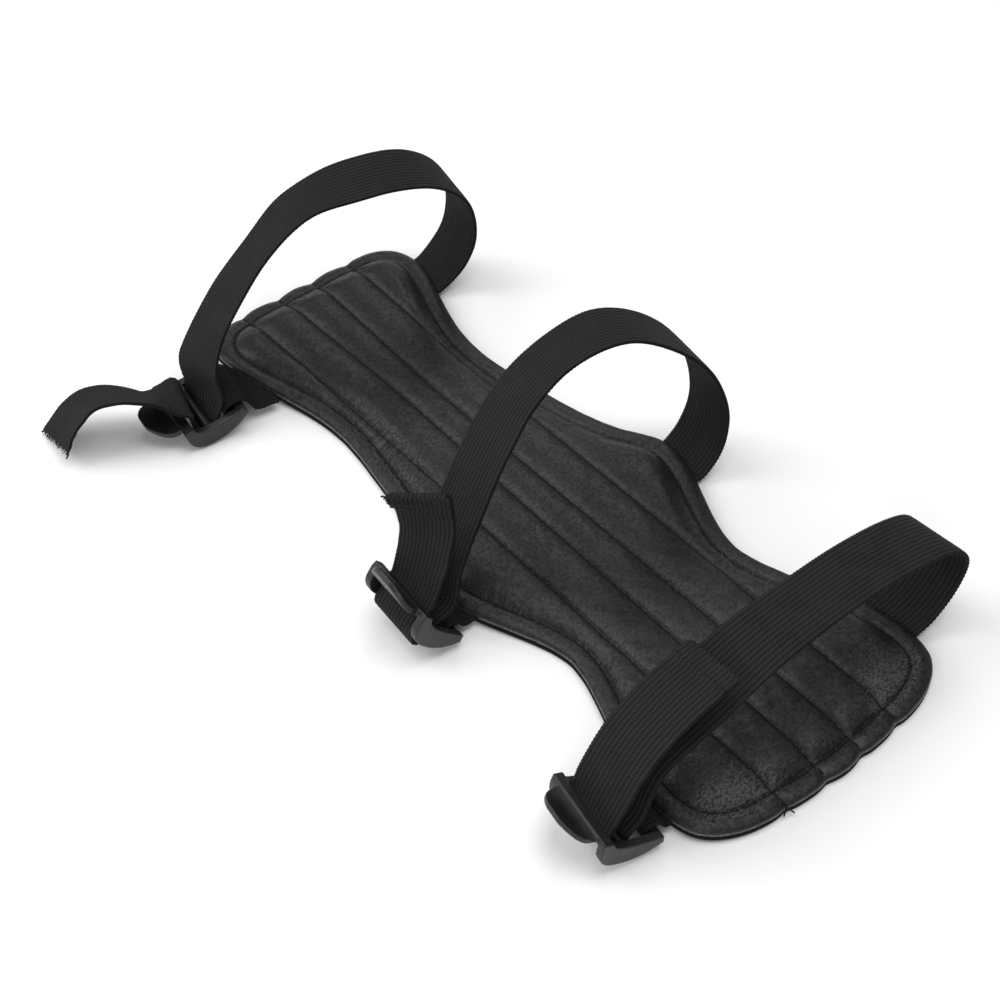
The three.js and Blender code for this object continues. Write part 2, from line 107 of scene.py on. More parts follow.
def mergedCopy(node):
    # a CAD node's triangles with their corners merged
    shape = bmesh.new()
    shape.from_mesh(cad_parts[node].data)
    bmesh.ops.remove_doubles(shape, verts=shape.verts, dist=0.005 * mm)
    shape.verts.ensure_lookup_table()
    return shape


def raysTo(piece):
    return BVHTree.FromObject(piece, bpy.context.evaluated_depsgraph_get())


def treeOf(points):
    tree = KDTree(len(points))
    for i, p in enumerate(points):
        tree.insert((p[0], p[1], 0), i)
    tree.balance()
    return tree


def ease(value):
    share = np.clip(value, 0, 1)
    return share * share * (3 - 2 * share)


def bell(distance, half):
    return np.exp(-(distance / half) ** 2)


def unitRows(rows):
    return rows / np.linalg.norm(rows, axis=1)[:, None]


def lengthsAlong(points):
    return np.r_[0, np.cumsum(np.linalg.norm(np.diff(points, axis=0), axis=1))]


def spacedLoop(points, step):
    # a closed line resampled at even steps
    closed = np.vstack([points, points[:1]])
    lengths = lengthsAlong(closed)
    count = int(round(lengths[-1] / step))
    places = np.arange(count) * lengths[-1] / count
    return np.column_stack([np.interp(places, lengths, closed[:, k]) for k in range(closed.shape[1])])


def softenedLoop(points, reach):
    # gaussian smoothing round a closed line of even steps
    step = np.linalg.norm(points[1] - points[0])
    wide = int(3 * reach / step) + 1
    weights = np.exp(-0.5 * (np.arange(-wide, wide + 1) * step / reach) ** 2)
    weights /= weights.sum()
    return sum(w * np.roll(points, -k, axis=0) for w, k in zip(weights, range(-wide, wide + 1)))


def loopNormals(points):
    # outward normals of a closed line that runs anticlockwise
    along = np.roll(points, -1, axis=0) - np.roll(points, 1, axis=0)
    return unitRows(np.column_stack([along[:, 1], -along[:, 0]]))


def insideLoop(loop, points):
    # even-odd test for many points at once
    inside = np.zeros(len(points), bool)
    ends = np.roll(loop, -1, axis=0)
    for (ax, ay), (bx, by) in zip(loop, ends):
        crosses = (ay > points[:, 1]) != (by > points[:, 1])
        if crosses.any():
            reachX = ax + (points[crosses, 1] - ay) / (by - ay) * (bx - ax)
            inside[crosses] ^= points[crosses, 0] < reachX
    return inside


def hermite(values, places, targets):
    # smooth curve through rows of values at increasing places
    slopes = np.gradient(values, places, axis=0)
    index = np.clip(np.searchsorted(places, targets) - 1, 0, len(places) - 2)
    gap = (places[index + 1] - places[index])[:, None]
    t = ((targets - places[index])[:, None]) / gap
    a, b = values[index], values[index + 1]
    ma, mb = slopes[index] * gap, slopes[index + 1] * gap
    return ((2 * t**3 - 3 * t**2 + 1) * a + (t**3 - 2 * t**2 + t) * ma
            + (3 * t**2 - 2 * t**3) * b + (t**3 - t**2) * mb)


# small helpers for node trees
def addNode(tree, kind, inputs, **settings):
    # an input is linked if it is given a socket, and set if it is given a value
    node = tree.nodes.new(kind)
    for name, value in settings.items():
        setattr(node, name, value)
    for label, value in inputs.items():
        if isinstance(value, bpy.types.NodeSocket):
            tree.links.new(value, node.inputs[label])
        else:
            node.inputs[label].default_value = value
    return node


def addSockets(tree, inputs):
    for label, kind, value in inputs:
        socket = tree.interface.new_socket(label, in_out="INPUT", socket_type=kind)
        if value is not None:
            socket.default_value = value


def mathNode(tree, operation, *values):
    return addNode(tree, "ShaderNodeMath", dict(enumerate(values)), operation=operation).outputs[0]


def times(tree, first, second):
    return mathNode(tree, "MULTIPLY", first, second)


def weighted(tree, *parts):
    # the sum of some values, each times its share
    total = 0.0
    for value, share in parts:
        total = mathNode(tree, "MULTIPLY_ADD", value, share, total)
    return total


def domed(tree, value):
    # 1 at nought, falling away with the square
    return mathNode(tree, "SUBTRACT", 1.0, times(tree, value, value))


def scaled(tree, vector, factor):
    node = addNode(tree, "ShaderNodeVectorMath", {0: vector, "Scale": factor}, operation="SCALE")
    return node.outputs["Vector"]


def stretched(tree, vector, factors):
    node = addNode(tree, "ShaderNodeVectorMath", {0: vector, 1: factors}, operation="MULTIPLY")
    return node.outputs["Vector"]


# node trees for geometry
def geometryTree(name, inputs):
    tree = bpy.data.node_groups.new(name, "GeometryNodeTree")
    tree.interface.new_socket("Geometry", in_out="INPUT", socket_type="NodeSocketGeometry")
    addSockets(tree, [*inputs, ("Material", "NodeSocketMaterial", None)])
    tree.interface.new_socket("Geometry", in_out="OUTPUT", socket_type="NodeSocketGeometry")
    return tree, tree.nodes.new("NodeGroupInput").outputs


def closeTree(tree, given, geometry):
    # every tree ends in real geometry that has its material
    real = addNode(tree, "GeometryNodeRealizeInstances", {"Geometry": geometry})
    addNode(tree, "NodeGroupOutput", {"Geometry": addNode(tree, "GeometryNodeSetMaterial", {
        "Geometry": real.outputs["Geometry"], "Material": given["Material"],
    }).outputs["Geometry"]})
    return tree


def linesOf(tree, given):
    return addNode(tree, "GeometryNodeMeshToCurve", {"Mesh": given["Geometry"]}).outputs["Curve"]


def tubeAlong(tree, curve, radius, sides):
    ring = addNode(tree, "GeometryNodeCurvePrimitiveCircle", {"Resolution": sides, "Radius": radius})
    return addNode(tree, "GeometryNodeCurveToMesh", {
        "Curve": curve, "Profile Curve": ring.outputs["Curve"], "Fill Caps": True,
    }).outputs["Mesh"]


def stitchTree():
    # short rounded stitches laid end to end along every line
    tree, given = geometryTree("stitchRow", [
        ("Pitch", "NodeSocketFloat", 3 * mm),
        ("Length", "NodeSocketFloat", 2.4 * mm),
        ("Thickness", "NodeSocketFloat", 0.5 * mm),
    ])
    places = addNode(tree, "GeometryNodeCurveToPoints", {
        "Curve": linesOf(tree, given), "Length": given["Pitch"],
    }, mode="LENGTH").outputs
    bead = addNode(tree, "GeometryNodeMeshUVSphere", {"Segments": 6, "Rings": 5, "Radius": 0.5})
    size = addNode(tree, "ShaderNodeCombineXYZ", {
        "X": given["Thickness"], "Y": given["Thickness"], "Z": given["Length"],
    })
    spread = addNode(tree, "GeometryNodeInstanceOnPoints", {
        "Points": places["Points"], "Instance": bead.outputs["Mesh"],
        "Rotation": places["Rotation"], "Scale": size.outputs["Vector"],
    })
    return closeTree(tree, given, spread.outputs["Instances"])


def threadTree():
    # round threads along every line
    tree, given = geometryTree("thread", [("Radius", "NodeSocketFloat", 0.15 * mm)])
    return closeTree(tree, given, tubeAlong(tree, linesOf(tree, given), given["Radius"], 6))


def frayTree():
    # short loose strands standing out of a cut edge
    tree, given = geometryTree("frayedEdge", [
        ("Strands", "NodeSocketInt", 60),
        ("Direction", "NodeSocketVector", (0, 0, 1)),
        ("Length", "NodeSocketFloat", 2 * mm),
        ("Radius", "NodeSocketFloat", 0.1 * mm),
        ("Seed", "NodeSocketInt", 3),
    ])
    places = addNode(tree, "GeometryNodeCurveToPoints", {
        "Curve": linesOf(tree, given), "Count": given["Strands"],
    }, mode="COUNT")
    # one strand of unit length, bent, then sized
    bend = addNode(tree, "GeometryNodeCurveQuadraticBezier", {
        "Resolution": 5, "Start": (0, 0, -0.4), "Middle": (0.12, 0, 0.5), "End": (-0.1, 0.2, 1),
    })
    lengths = addNode(tree, "ShaderNodeCombineXYZ", {axis: given["Length"] for axis in "XYZ"})
    size = addNode(tree, "GeometryNodeTransform", {
        "Geometry": bend.outputs["Curve"], "Scale": lengths.outputs["Vector"],
    })
    strand = tubeAlong(tree, size.outputs["Geometry"], given["Radius"], 5)
    # each one leans and grows by its own amount
    aim = addNode(tree, "FunctionNodeAlignRotationToVector", {"Vector": given["Direction"]}, axis="Z")
    lean = addNode(tree, "FunctionNodeRandomValue", {
        "Min": (-0.55, -0.55, -3), "Max": (0.55, 0.55, 3), "Seed": given["Seed"],
    }, data_type="FLOAT_VECTOR")
    euler = addNode(tree, "FunctionNodeEulerToRotation", {"Euler": lean.outputs["Value"]})
    turn = addNode(tree, "FunctionNodeRotateRotation", {
        "Rotation": aim.outputs["Rotation"], "Rotate By": euler.outputs["Rotation"],
    }, rotation_space="LOCAL")
    grow = addNode(tree, "FunctionNodeRandomValue", {
        "Min": (1, 1, 0.25), "Max": (1, 1, 1), "Seed": mathNode(tree, "ADD", given["Seed"], 7.0),
    }, data_type="FLOAT_VECTOR")
    spread = addNode(tree, "GeometryNodeInstanceOnPoints", {
        "Points": places.outputs["Points"], "Instance": strand,
        "Rotation": turn.outputs["Rotation"], "Scale": grow.outputs["Value"],
    })
    return closeTree(tree, given, spread.outputs["Instances"])


def ribTree():
    # lengthwise ribs raised on both faces of a band, from its own "across" attribute
    tree, given = geometryTree("ribbedBand", [
        ("Ribs", "NodeSocketFloat", 12),
        ("Rib Height", "NodeSocketFloat", 0.2 * mm),
    ])
    across = addNode(tree, "GeometryNodeInputNamedAttribute", {"Name": "across"}, data_type="FLOAT")
    share = mathNode(tree, "MULTIPLY_ADD", across.outputs["Attribute"], 0.5, 0.5)
    place = mathNode(tree, "FRACT", times(tree, share, given["Ribs"]))
    ridge = domed(tree, mathNode(tree, "MULTIPLY_ADD", place, 2.0, -1.0))
    normal = tree.nodes.new("GeometryNodeInputNormal").outputs["Normal"]
    move = addNode(tree, "GeometryNodeSetPosition", {
        "Geometry": given["Geometry"],
        "Offset": scaled(tree, normal, times(tree, ridge, given["Rib Height"])),
    })
    return closeTree(tree, given, move.outputs["Geometry"])


geometryTrees = {"stitches": stitchTree(), "ribs": ribTree(), "thread": threadTree(), "fray": frayTree()}


def treeModifier(piece, treeName, values):
    tree = geometryTrees[treeName]
    modifier = piece.modifiers.new(tree.name, "NODES")
    modifier.node_group = tree
    for item in tree.interface.items_tree:
        if item.in_out == "INPUT" and item.name in values:
            modifier[item.identifier] = values[item.name]


def treePiece(name, paths, treeName, values, material):
    # lines that one of the trees turns into a finished piece
    piece = addPaths(name, paths)
    treeModifier(piece, treeName, {**values, "Material": material})
    return finishPiece(settle(piece), material)


# shader groups shared by several finishes
def shaderGroup(name, inputs, outputs):
    group = bpy.data.node_groups.new(name, "ShaderNodeTree")
    addSockets(group, inputs)
    for label in outputs:
        group.interface.new_socket(label, in_out="OUTPUT", socket_type="NodeSocketFloat")
    return group, group.nodes.new("NodeGroupInput").outputs


def noiseNode(tree, vector, scale=1.0, detail=2.0, roughness=0.5, distortion=0.0):
    return addNode(tree, "ShaderNodeTexNoise", {
        "Vector": vector, "Scale": scale, "Detail": detail,
        "Roughness": roughness, "Distortion": distortion,
    }).outputs["Fac"]


def ranged(tree, value, low, high, toLow=0.0, toHigh=1.0):
    return addNode(tree, "ShaderNodeMapRange", {
        "Value": value, "From Min": low, "From Max": high, "To Min": toLow, "To Max": toHigh,
    }, clamp=True).outputs["Result"]


def grainGroup():
    # pebbled skin: small rounded cells with fine creases between them
    group, given = shaderGroup("skinGrain", [
        ("Vector", "NodeSocketVector", None),
        ("Cells", "NodeSocketFloat", 1.4),
        ("Creases", "NodeSocketFloat", 0.5),
    ], ("Height", "Shade"))
    place = scaled(group, given["Vector"], given["Cells"])
    cells = addNode(group, "ShaderNodeTexVoronoi", {"Vector": place, "Scale": 1.0}, feature="F1")
    crease = noiseNode(group, place, 0.8, 1, 0.5, 0.8)
    dome = domed(group, cells.outputs["Distance"])
    height = mathNode(group, "MULTIPLY_ADD", crease, given["Creases"], dome)
    addNode(group, "NodeGroupOutput", {"Height": height, "Shade": ranged(group, height, 0.3, 1.3)})
    return group


def driftGroup():
    # slow drift of tone over a surface
    group, given = shaderGroup("toneDrift", [
        ("Vector", "NodeSocketVector", None),
        ("Size", "NodeSocketFloat", 0.05),
    ], ("Tone",))
    place = scaled(group, given["Vector"], given["Size"])
    addNode(group, "NodeGroupOutput", {"Tone": noiseNode(group, place, 1.0, 4, 0.6)})
    return group


def knitGroup():
    # loops of thread along each rib, offset from one rib to the next
    group, given = shaderGroup("knitPicks", [
        ("Across", "NodeSocketFloat", 0.0),
        ("Along", "NodeSocketFloat", 0.0),
        ("Ribs", "NodeSocketFloat", 12.0),
        ("Picks", "NodeSocketFloat", 900.0),
    ], ("Height", "Shade"))
    count = times(group, mathNode(group, "MULTIPLY_ADD", given["Across"], 0.5, 0.5), given["Ribs"])
    rib = mathNode(group, "FLOOR", count)
    place = mathNode(group, "FRACT", count)
    centred = mathNode(group, "ABSOLUTE", mathNode(group, "MULTIPLY_ADD", place, 2.0, -1.0))
    step = times(group, given["Along"], given["Picks"])
    shifted = mathNode(group, "MULTIPLY_ADD", rib, 0.5, step)
    slanted = mathNode(group, "MULTIPLY_ADD", centred, 0.5, shifted)
    wave = mathNode(group, "SINE", times(group, slanted, 2 * math.pi))
    loop = mathNode(group, "MULTIPLY_ADD", wave, 0.5, 0.5)
    height = times(group, domed(group, centred), mathNode(group, "MULTIPLY_ADD", loop, 0.6, 0.4))
    addNode(group, "NodeGroupOutput", {"Height": height, "Shade": ranged(group, height, 0.0, 0.9)})
    return group


shaderGroups = {"grain": grainGroup(), "drift": driftGroup(), "knit": knitGroup()}


# finishes
def newMaterial(name, specular):
    material = bpy.data.materials.new(name)
    material.use_nodes = True
    shader = material.node_tree.nodes["Principled BSDF"]
    shader.inputs["Specular IOR Level"].default_value = specular
    return material, material.node_tree, shader


def placeGroup(tree, name, values):
    return addNode(tree, "ShaderNodeGroup", values, node_tree=shaderGroups[name]).outputs


def objectMillimetres(tree):
    coords = tree.nodes.new("ShaderNodeTexCoord")
    return scaled(tree, coords.outputs["Object"], 1 / mm)


def attributeValue(tree, name):
    node = tree.nodes.new("ShaderNodeAttribute")
    node.attribute_name = name
    return node.outputs["Fac"]


def mixedColour(tree, factor, first, second):
    # each colour is a socket or three numbers, and goes into inputs 6 and 7
    inputs = {"Factor": factor}
    for label, colour in ((6, first), (7, second)):
        inputs[label] = colour if isinstance(colour, bpy.types.NodeSocket) else (*colour, 1)
    return addNode(tree, "ShaderNodeMix", inputs, data_type="RGBA").outputs[2]


def bumped(tree, shader, height):
    # heights are in millimetres
    bump = addNode(tree, "ShaderNodeBump", {"Strength": 1.0, "Distance": mm, "Height": height})
    tree.links.new(bump.outputs["Normal"], shader.inputs["Normal"])


def painted(tree, shader, colour, roughness=None):
    tree.links.new(colour, shader.inputs["Base Color"])
    if roughness is not None:
        tree.links.new(roughness, shader.inputs["Roughness"])


leatherFinish = {
    # the pale crest colour is a painted highlight on pucker and fold crests
    "dark": (0.0012, 0.0012, 0.0013), "light": (0.0145, 0.0145, 0.0148), "crestHighlight": (0.06, 0.06, 0.06),
    # the dark groove colour is painted shade in the stitch grooves and pucker hollows
    # the pale edge colour is a painted highlight down the rolled lip
    "grooveShade": (0.0025, 0.0025, 0.0025), "lipHighlight": (0.22, 0.22, 0.217),
    "specular": 0.36, "rough": 0.56, "smooth": 0.42,
    "driftSize": 0.05, "driftShare": 0.18, "tones": (0.35, 0.85),
    # cells to the millimetre, depths in millimetres
    "grainCells": 1.0, "grainDepth": 0.03, "pebbleCells": 0.62, "pebbleDepth": 0.015, "creases": 0.2,
    # puckers to the metre along a seam and away from it, and how far they reach
    "puckersAlong": 1500.0, "puckersAway": 850.0, "puckerReach": (0.3 * mm, 5.0 * mm),
    "puckerDepth": 0.16, "puckerHighlight": 0.4,
    # short folds to the millimetre along the three axes
    "folds": (2.0, 0.95, 0.5), "foldCreases": 0.15, "foldDepth": 0.22, "foldHighlightRange": (0.5, 0.95),
    "grooveShadeReach": (0.15 * mm, 0.7 * mm), "grooveShadeShare": 0.85, "lipHighlightFrom": 0.35,
}


def leatherMaterial():
    finish = leatherFinish
    material, tree, shader = newMaterial("blackLeather", finish["specular"])
    place = objectMillimetres(tree)
    skin = {"Vector": place, "Creases": finish["creases"]}
    grain = placeGroup(tree, "grain", {**skin, "Cells": finish["grainCells"]})
    pebble = placeGroup(tree, "grain", {**skin, "Cells": finish["pebbleCells"]})
    drift = placeGroup(tree, "drift", {"Vector": place, "Size": finish["driftSize"]})
    # puckers run away from the stitches
    gap = attributeValue(tree, "stitchGap")
    run = addNode(tree, "ShaderNodeCombineXYZ", {
        "X": times(tree, attributeValue(tree, "stitchAlong"), finish["puckersAlong"]),
        "Y": times(tree, gap, finish["puckersAway"]),
    })
    wave = noiseNode(tree, run.outputs["Vector"], detail=0, distortion=0.2)
    nearStitch = ranged(tree, gap, *finish["puckerReach"], 1.0, 0.0)
    weight = times(tree, nearStitch, attributeValue(tree, "pucker"))
    pucker = times(tree, weight, ranged(tree, wave, 0.35, 0.6))
    # painted shade in the hollows between puckers
    hollowShade = mathNode(tree, "SUBTRACT", weight, pucker)
    # short folds lie along the gathered end
    drawn = stretched(tree, place, finish["folds"])
    folds = placeGroup(tree, "grain", {"Vector": drawn, "Cells": 1.0, "Creases": finish["foldCreases"]})
    fold = times(tree, attributeValue(tree, "crumple"), folds["Height"])
    bumped(tree, shader, weighted(
        tree, (grain["Height"], finish["grainDepth"]), (pebble["Height"], finish["pebbleDepth"]),
        (pucker, finish["puckerDepth"]), (fold, finish["foldDepth"])))
    # tone: the grain's shade over a slow drift, a painted highlight on the crests, painted shade in the
    # grooves and hollows, and a painted highlight down the rolled lip
    tone = weighted(tree, (drift["Tone"], finish["driftShare"]), (grain["Shade"], 1.0))
    colour = mixedColour(tree, ranged(tree, tone, *finish["tones"]), finish["dark"], finish["light"])
    # painted highlight on the fold and pucker crests
    foldHighlight = ranged(tree, fold, *finish["foldHighlightRange"])
    crestHighlight = mathNode(tree, "MULTIPLY_ADD", pucker, finish["puckerHighlight"], foldHighlight)
    colour = mixedColour(tree, crestHighlight, colour, finish["crestHighlight"])
    # painted shade in the grooves along the stitches and in the pucker hollows
    sewn = ranged(tree, gap, *finish["grooveShadeReach"], finish["grooveShadeShare"], 0.0)
    colour = mixedColour(tree, mathNode(tree, "MAXIMUM", sewn, hollowShade), colour, finish["grooveShade"])
    # painted highlight down the rolled lip, broken by a mottle
    mottle = ranged(tree, noiseNode(tree, place, 0.9), 0.35, 0.65, 0.3, 1.0)
    lipHighlightMask = times(tree, ranged(tree, attributeValue(tree, "lipHighlightShare"), finish["lipHighlightFrom"], 1.0), mottle)
    colour = mixedColour(tree, lipHighlightMask, colour, finish["lipHighlight"])
    painted(tree, shader, colour, ranged(tree, grain["Shade"], 0.0, 0.8, finish["rough"], finish["smooth"]))
    return material


elasticRibs = 14
knitFinish = {
    "picks": 1150.0, "specular": 0.18, "driftSize": 0.12, "fuzz": 6.0, "fuzzDepth": 0.05,
    "knittedElastic": {"dark": (0.0012, 0.0012, 0.0013), "light": (0.0225, 0.0225, 0.0229), "depth": 0.19},
    "foldedWebbing": {"dark": (0.0025, 0.0025, 0.0025), "light": (0.011, 0.011, 0.0113), "depth": 0.17},
}


def knitMaterial(name):
    finish, yarn = knitFinish, knitFinish[name]
    material, tree, shader = newMaterial(name, finish["specular"])
    place = objectMillimetres(tree)
    drift = placeGroup(tree, "drift", {"Vector": place, "Size": finish["driftSize"]})
    knit = placeGroup(tree, "knit", {
        "Across": attributeValue(tree, "across"), "Along": attributeValue(tree, "along"),
        "Ribs": elasticRibs, "Picks": finish["picks"],
    })
    fuzz = noiseNode(tree, place, finish["fuzz"], 2, 0.6)
    bumped(tree, shader, weighted(tree, (knit["Height"], yarn["depth"]), (fuzz, finish["fuzzDepth"])))
    tone = weighted(tree, (drift["Tone"], 0.4), (knit["Shade"], 0.7))
    colour = mixedColour(tree, ranged(tree, tone, 0.1, 0.95), yarn["dark"], yarn["light"])
    painted(tree, shader, colour, ranged(tree, fuzz, 0.3, 0.7, 0.72, 0.9))
    return material


grainedFinish = {
    "mouldedPlastic": {
        "dark": (0.006, 0.006, 0.0063), "light": (0.0115, 0.0115, 0.0119), "specular": 0.42,
        "grainCells": 5.0, "creases": 0.5, "grainDepth": 0.012, "grainShare": 0.0,
        "driftSize": 0.2, "driftShare": 1.0, "roughness": (0.3, 0.7, 0.34, 0.48),
    },
    "backingCloth": {
        "dark": (0.006, 0.006, 0.006), "light": (0.018, 0.018, 0.018), "specular": 0.15,
        "grainCells": 3.2, "creases": 1.0, "grainDepth": 0.06, "grainShare": 0.5,
        "driftSize": 0.08, "driftShare": 0.5, "roughness": (0.2, 0.8, 0.75, 0.92),
    },
}


def grainedMaterial(name):
    # a fine even grain, its tone from the grain and a slow drift
    finish = grainedFinish[name]
    material, tree, shader = newMaterial(name, finish["specular"])
    place = objectMillimetres(tree)
    grain = placeGroup(tree, "grain", {
        "Vector": place, "Cells": finish["grainCells"], "Creases": finish["creases"],
    })
    drift = placeGroup(tree, "drift", {"Vector": place, "Size": finish["driftSize"]})
    bumped(tree, shader, times(tree, grain["Height"], finish["grainDepth"]))
    tone = weighted(tree, (drift["Tone"], finish["driftShare"]), (grain["Shade"], finish["grainShare"]))
    colour = mixedColour(tree, tone, finish["dark"], finish["light"])
    painted(tree, shader, colour, ranged(tree, tone, *finish["roughness"]))
    return material


threadFinish = {
    "specular": 0.2, "roughness": 0.7, "twist": 4.0, "twistDepth": 0.06, "strands": 0.9,
    "blackThread": {"dark": (0.006, 0.006, 0.006), "light": (0.02, 0.02, 0.02)},
    "cutElastic": {"dark": (0.004, 0.004, 0.004), "light": (0.14, 0.14, 0.137)},
}


def threadMaterial(name):
    finish, tones = threadFinish, threadFinish[name]
    material, tree, shader = newMaterial(name, finish["specular"])
    shader.inputs["Roughness"].default_value = finish["roughness"]
    place = objectMillimetres(tree)
    twist = noiseNode(tree, place, finish["twist"])
    bumped(tree, shader, times(tree, twist, finish["twistDepth"]))
    strands = ranged(tree, noiseNode(tree, place, finish["strands"], 1), 0.45, 0.75)
    painted(tree, shader, mixedColour(tree, times(tree, strands, twist), tones["dark"], tones["light"]))
    return material


floorFinish = {
    "dark": (0.92, 0.92, 0.92), "light": (0.94, 0.94, 0.94),
    "specular": 0.1, "roughness": 0.9, "driftSize": 0.01,
}


def floorMaterial():
    finish = floorFinish
    material, tree, shader = newMaterial("paleFloor", finish["specular"])
    shader.inputs["Roughness"].default_value = finish["roughness"]
    drift = placeGroup(tree, "drift", {"Vector": objectMillimetres(tree), "Size": finish["driftSize"]})
    painted(tree, shader, mixedColour(tree, drift["Tone"], finish["dark"], finish["light"]))
    return material


leather = leatherMaterial()
elastic = knitMaterial("knittedElastic")
webbing = knitMaterial("foldedWebbing")
plastic = grainedMaterial("mouldedPlastic")
backingCloth = grainedMaterial("backingCloth")
thread = threadMaterial("blackThread")
elasticThread = threadMaterial("cutElastic")
print("finishes made")


# camera at the photograph's angle
cameraView = {
    "target": (-9.6 * mm, -6.9 * mm, 0), "distance": 585 * mm, "azimuth": 50.3, "elevation": 46.7,
    "lens": 67.64, "sensor": 36, "nearest": 10 * mm,
}


def makeCamera():
    view = cameraView
    turn, rise = math.radians(view["azimuth"]), math.radians(view["elevation"])
    back = Vector((math.sin(turn) * math.cos(rise), -math.cos(turn) * math.cos(rise), math.sin(rise)))
    data = bpy.data.cameras.new("photoCamera")
    data.lens, data.sensor_width = view["lens"], view["sensor"]
    data.clip_start = view["nearest"]
    camera = linkPiece("photoCamera", data)
    camera.location = Vector(view["target"]) + back * view["distance"]
    camera.rotation_euler = (-back).to_track_quat("-Z", "Y").to_euler()
    scene.camera = camera


makeCamera()
print("camera set")


# the quilted cover
coverForm = {
    "borderInset": 5.2 * mm, "lip": 4.0 * mm, "stitch": 4.2 * mm, "borderSwell": 0.6 * mm,
    "seamRise": 2.1 * mm, "seamRiseReach": 7 * mm, "crown": 1.7 * mm, "crownReach": 7 * mm,
    "underside": 1.5 * mm,
    # seams dip the border band, and the wrist end lies lower
    "bandDip": 0.45 * mm, "bandDipHalf": 1.5 * mm, "bandDipFrom": 0.15,
    "wristDrop": 0.9 * mm, "wristFrom": 108 * mm, "wristRun": 12 * mm,
    # spacing of the mesh, with lines close beside the stitches
    "pointStep": 1.9 * mm, "lineStep": 1.25 * mm, "underStep": 6 * mm,
    "fineStep": 0.5 * mm, "gapStep": 0.3 * mm, "besideLine": 0.75 * mm, "besideClear": 2.6,
    "lipSoft": 1.2 * mm, "borderSoft": 4 * mm, "insetSoft": 1.5 * mm,
    # grooves under the stitches, shallower outside the border
    "sewnHalf": 0.2 * mm, "sewnLip": 0.15 * mm, "grooveDepth": 0.85 * mm, "grooveHalf": 0.5 * mm,
    "outerGroove": 0.35, "outerFrom": 0.3 * mm, "grooveClear": 1.2 * mm,
    "crease": 0.75, "creaseClear": 1 * mm,
    # seams stop short of the lip and draw it in, less at the wrist end
    "seamEnd": 132 * mm, "seamClear": 1.5 * mm, "notchDepth": 0.8 * mm, "notchDip": 0.45 * mm,
    "notchHalf": 1.7 * mm, "notchFrom": 105 * mm, "wristNotch": 0.5,
    "acrossFrom": 112 * mm, "farFromStitch": 20 * mm,
    "foldHeight": 0.22 * mm, "foldAcross": 2.6 * mm, "foldAlong": 6.5 * mm,
    "foldLevel": 3.0, "foldSharpness": 2.2,
    # ring by ring round the rolled lip: how far out, how far down, how strong its painted highlight
    "lipRoll": ((0.4, 0.3, 0.12), (0.7, 0.95, 0.5), (0.8, 1.7, 0.8), (0.6, 2.35, 1.0)),
}
seamLines = {"x": (-125, -60, 15, 125), "inner": (7, 5, 6, 7), "outer": (22, 20.5, 21.5, 22)}
outlineForm = {
    "axisHalf": 95 * mm, "sideStart": 1 * mm, "sideStep": 1.5 * mm, "fanStep": 1.2,
    "nearest": 5 * mm, "farthest": 80 * mm, "halvings": 13,
}
quiltForm = {
    "startShare": 0.8, "slack": 0.004, "pressure": 70.0, "frames": 20, "moveCap": 2.0 * mm,
    "quality": 6, "mass": 0.001, "tension": 15, "shear": 5, "bending": 0.3, "damping": 5,
}
puckerForm = {
    "rest": 0.18, "patches": 0.3, "patchLong": 9 * mm, "patchWide": 11 * mm, "patchShift": 3,
    "waist": 0.75, "waistAt": -38 * mm, "waistHalf": 38 * mm, "sideFrom": 8 * mm, "sideRun": 12 * mm,
    "endsFrom": 94 * mm, "endsRun": 12 * mm, "crossingClear": 5 * mm,
}
crumpleForm = {
    "end": 123 * mm, "run": 30 * mm, "cornerFrom": 12 * mm, "cornerRun": 14 * mm,
    "edgeRun": 4 * mm, "least": 0.01,
}
undersideRays = raysTo(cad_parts["pad_backing"])


def coverOutline():
    # felt outwards from the pad's long axis: sideways along it, and as a fan at each end
    form, rays = outlineForm, raysTo(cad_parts["pad_cover"])
    half = form["axisHalf"]
    sideways = np.arange(-half + form["sideStart"], half, form["sideStep"])
    fan = np.radians(np.arange(-90, 90.1, form["fanStep"]))
    feelers = [(half, turn) for turn in fan]
    feelers += [(x, math.pi / 2) for x in sideways[::-1]]
    feelers += [(-half, math.pi + turn) for turn in fan]
    feelers += [(x, -math.pi / 2) for x in sideways]
    points = []
    for x, turn in feelers:
        near, far = form["nearest"], form["farthest"]
        for _ in range(form["halvings"]):
            middle = (near + far) / 2
            place = Vector((x + middle * math.cos(turn), middle * math.sin(turn), clearOfAll))
            if rays.ray_cast(place, tableward)[0]:
                near = middle
            else:
                far = middle
        points.append((x + near * math.cos(turn), near * math.sin(turn)))
    return np.array(points)


def liftsAt(places):
    # how far the pad's underside curls up off the table
    hits = [undersideRays.ray_cast(Vector((x, y, -clearOfAll)), skyward)[0] for x, y in places]
    return np.array([hit.z if hit else 0.0 for hit in hits])


def seamSide(x, column):
    return np.interp(x, np.array(seamLines["x"]) * mm, np.array(seamLines[column]) * mm)


def seamPaths(rim):
    # four lines that stop just short of the lip
    form, paths = coverForm, []
    xs = np.arange(-form["seamEnd"], form["seamEnd"], form["lineStep"])
    rimDense = spacedLoop(rim, form["fineStep"])
    for column in ("outer", "inner"):
        for side in (-1, 1):
            path = np.column_stack([xs, side * seamSide(xs, column)])
            path = path[insideLoop(rim, path)]
            paths.append(path[gapsTo(path, rimDense) > form["seamClear"]])
    return paths


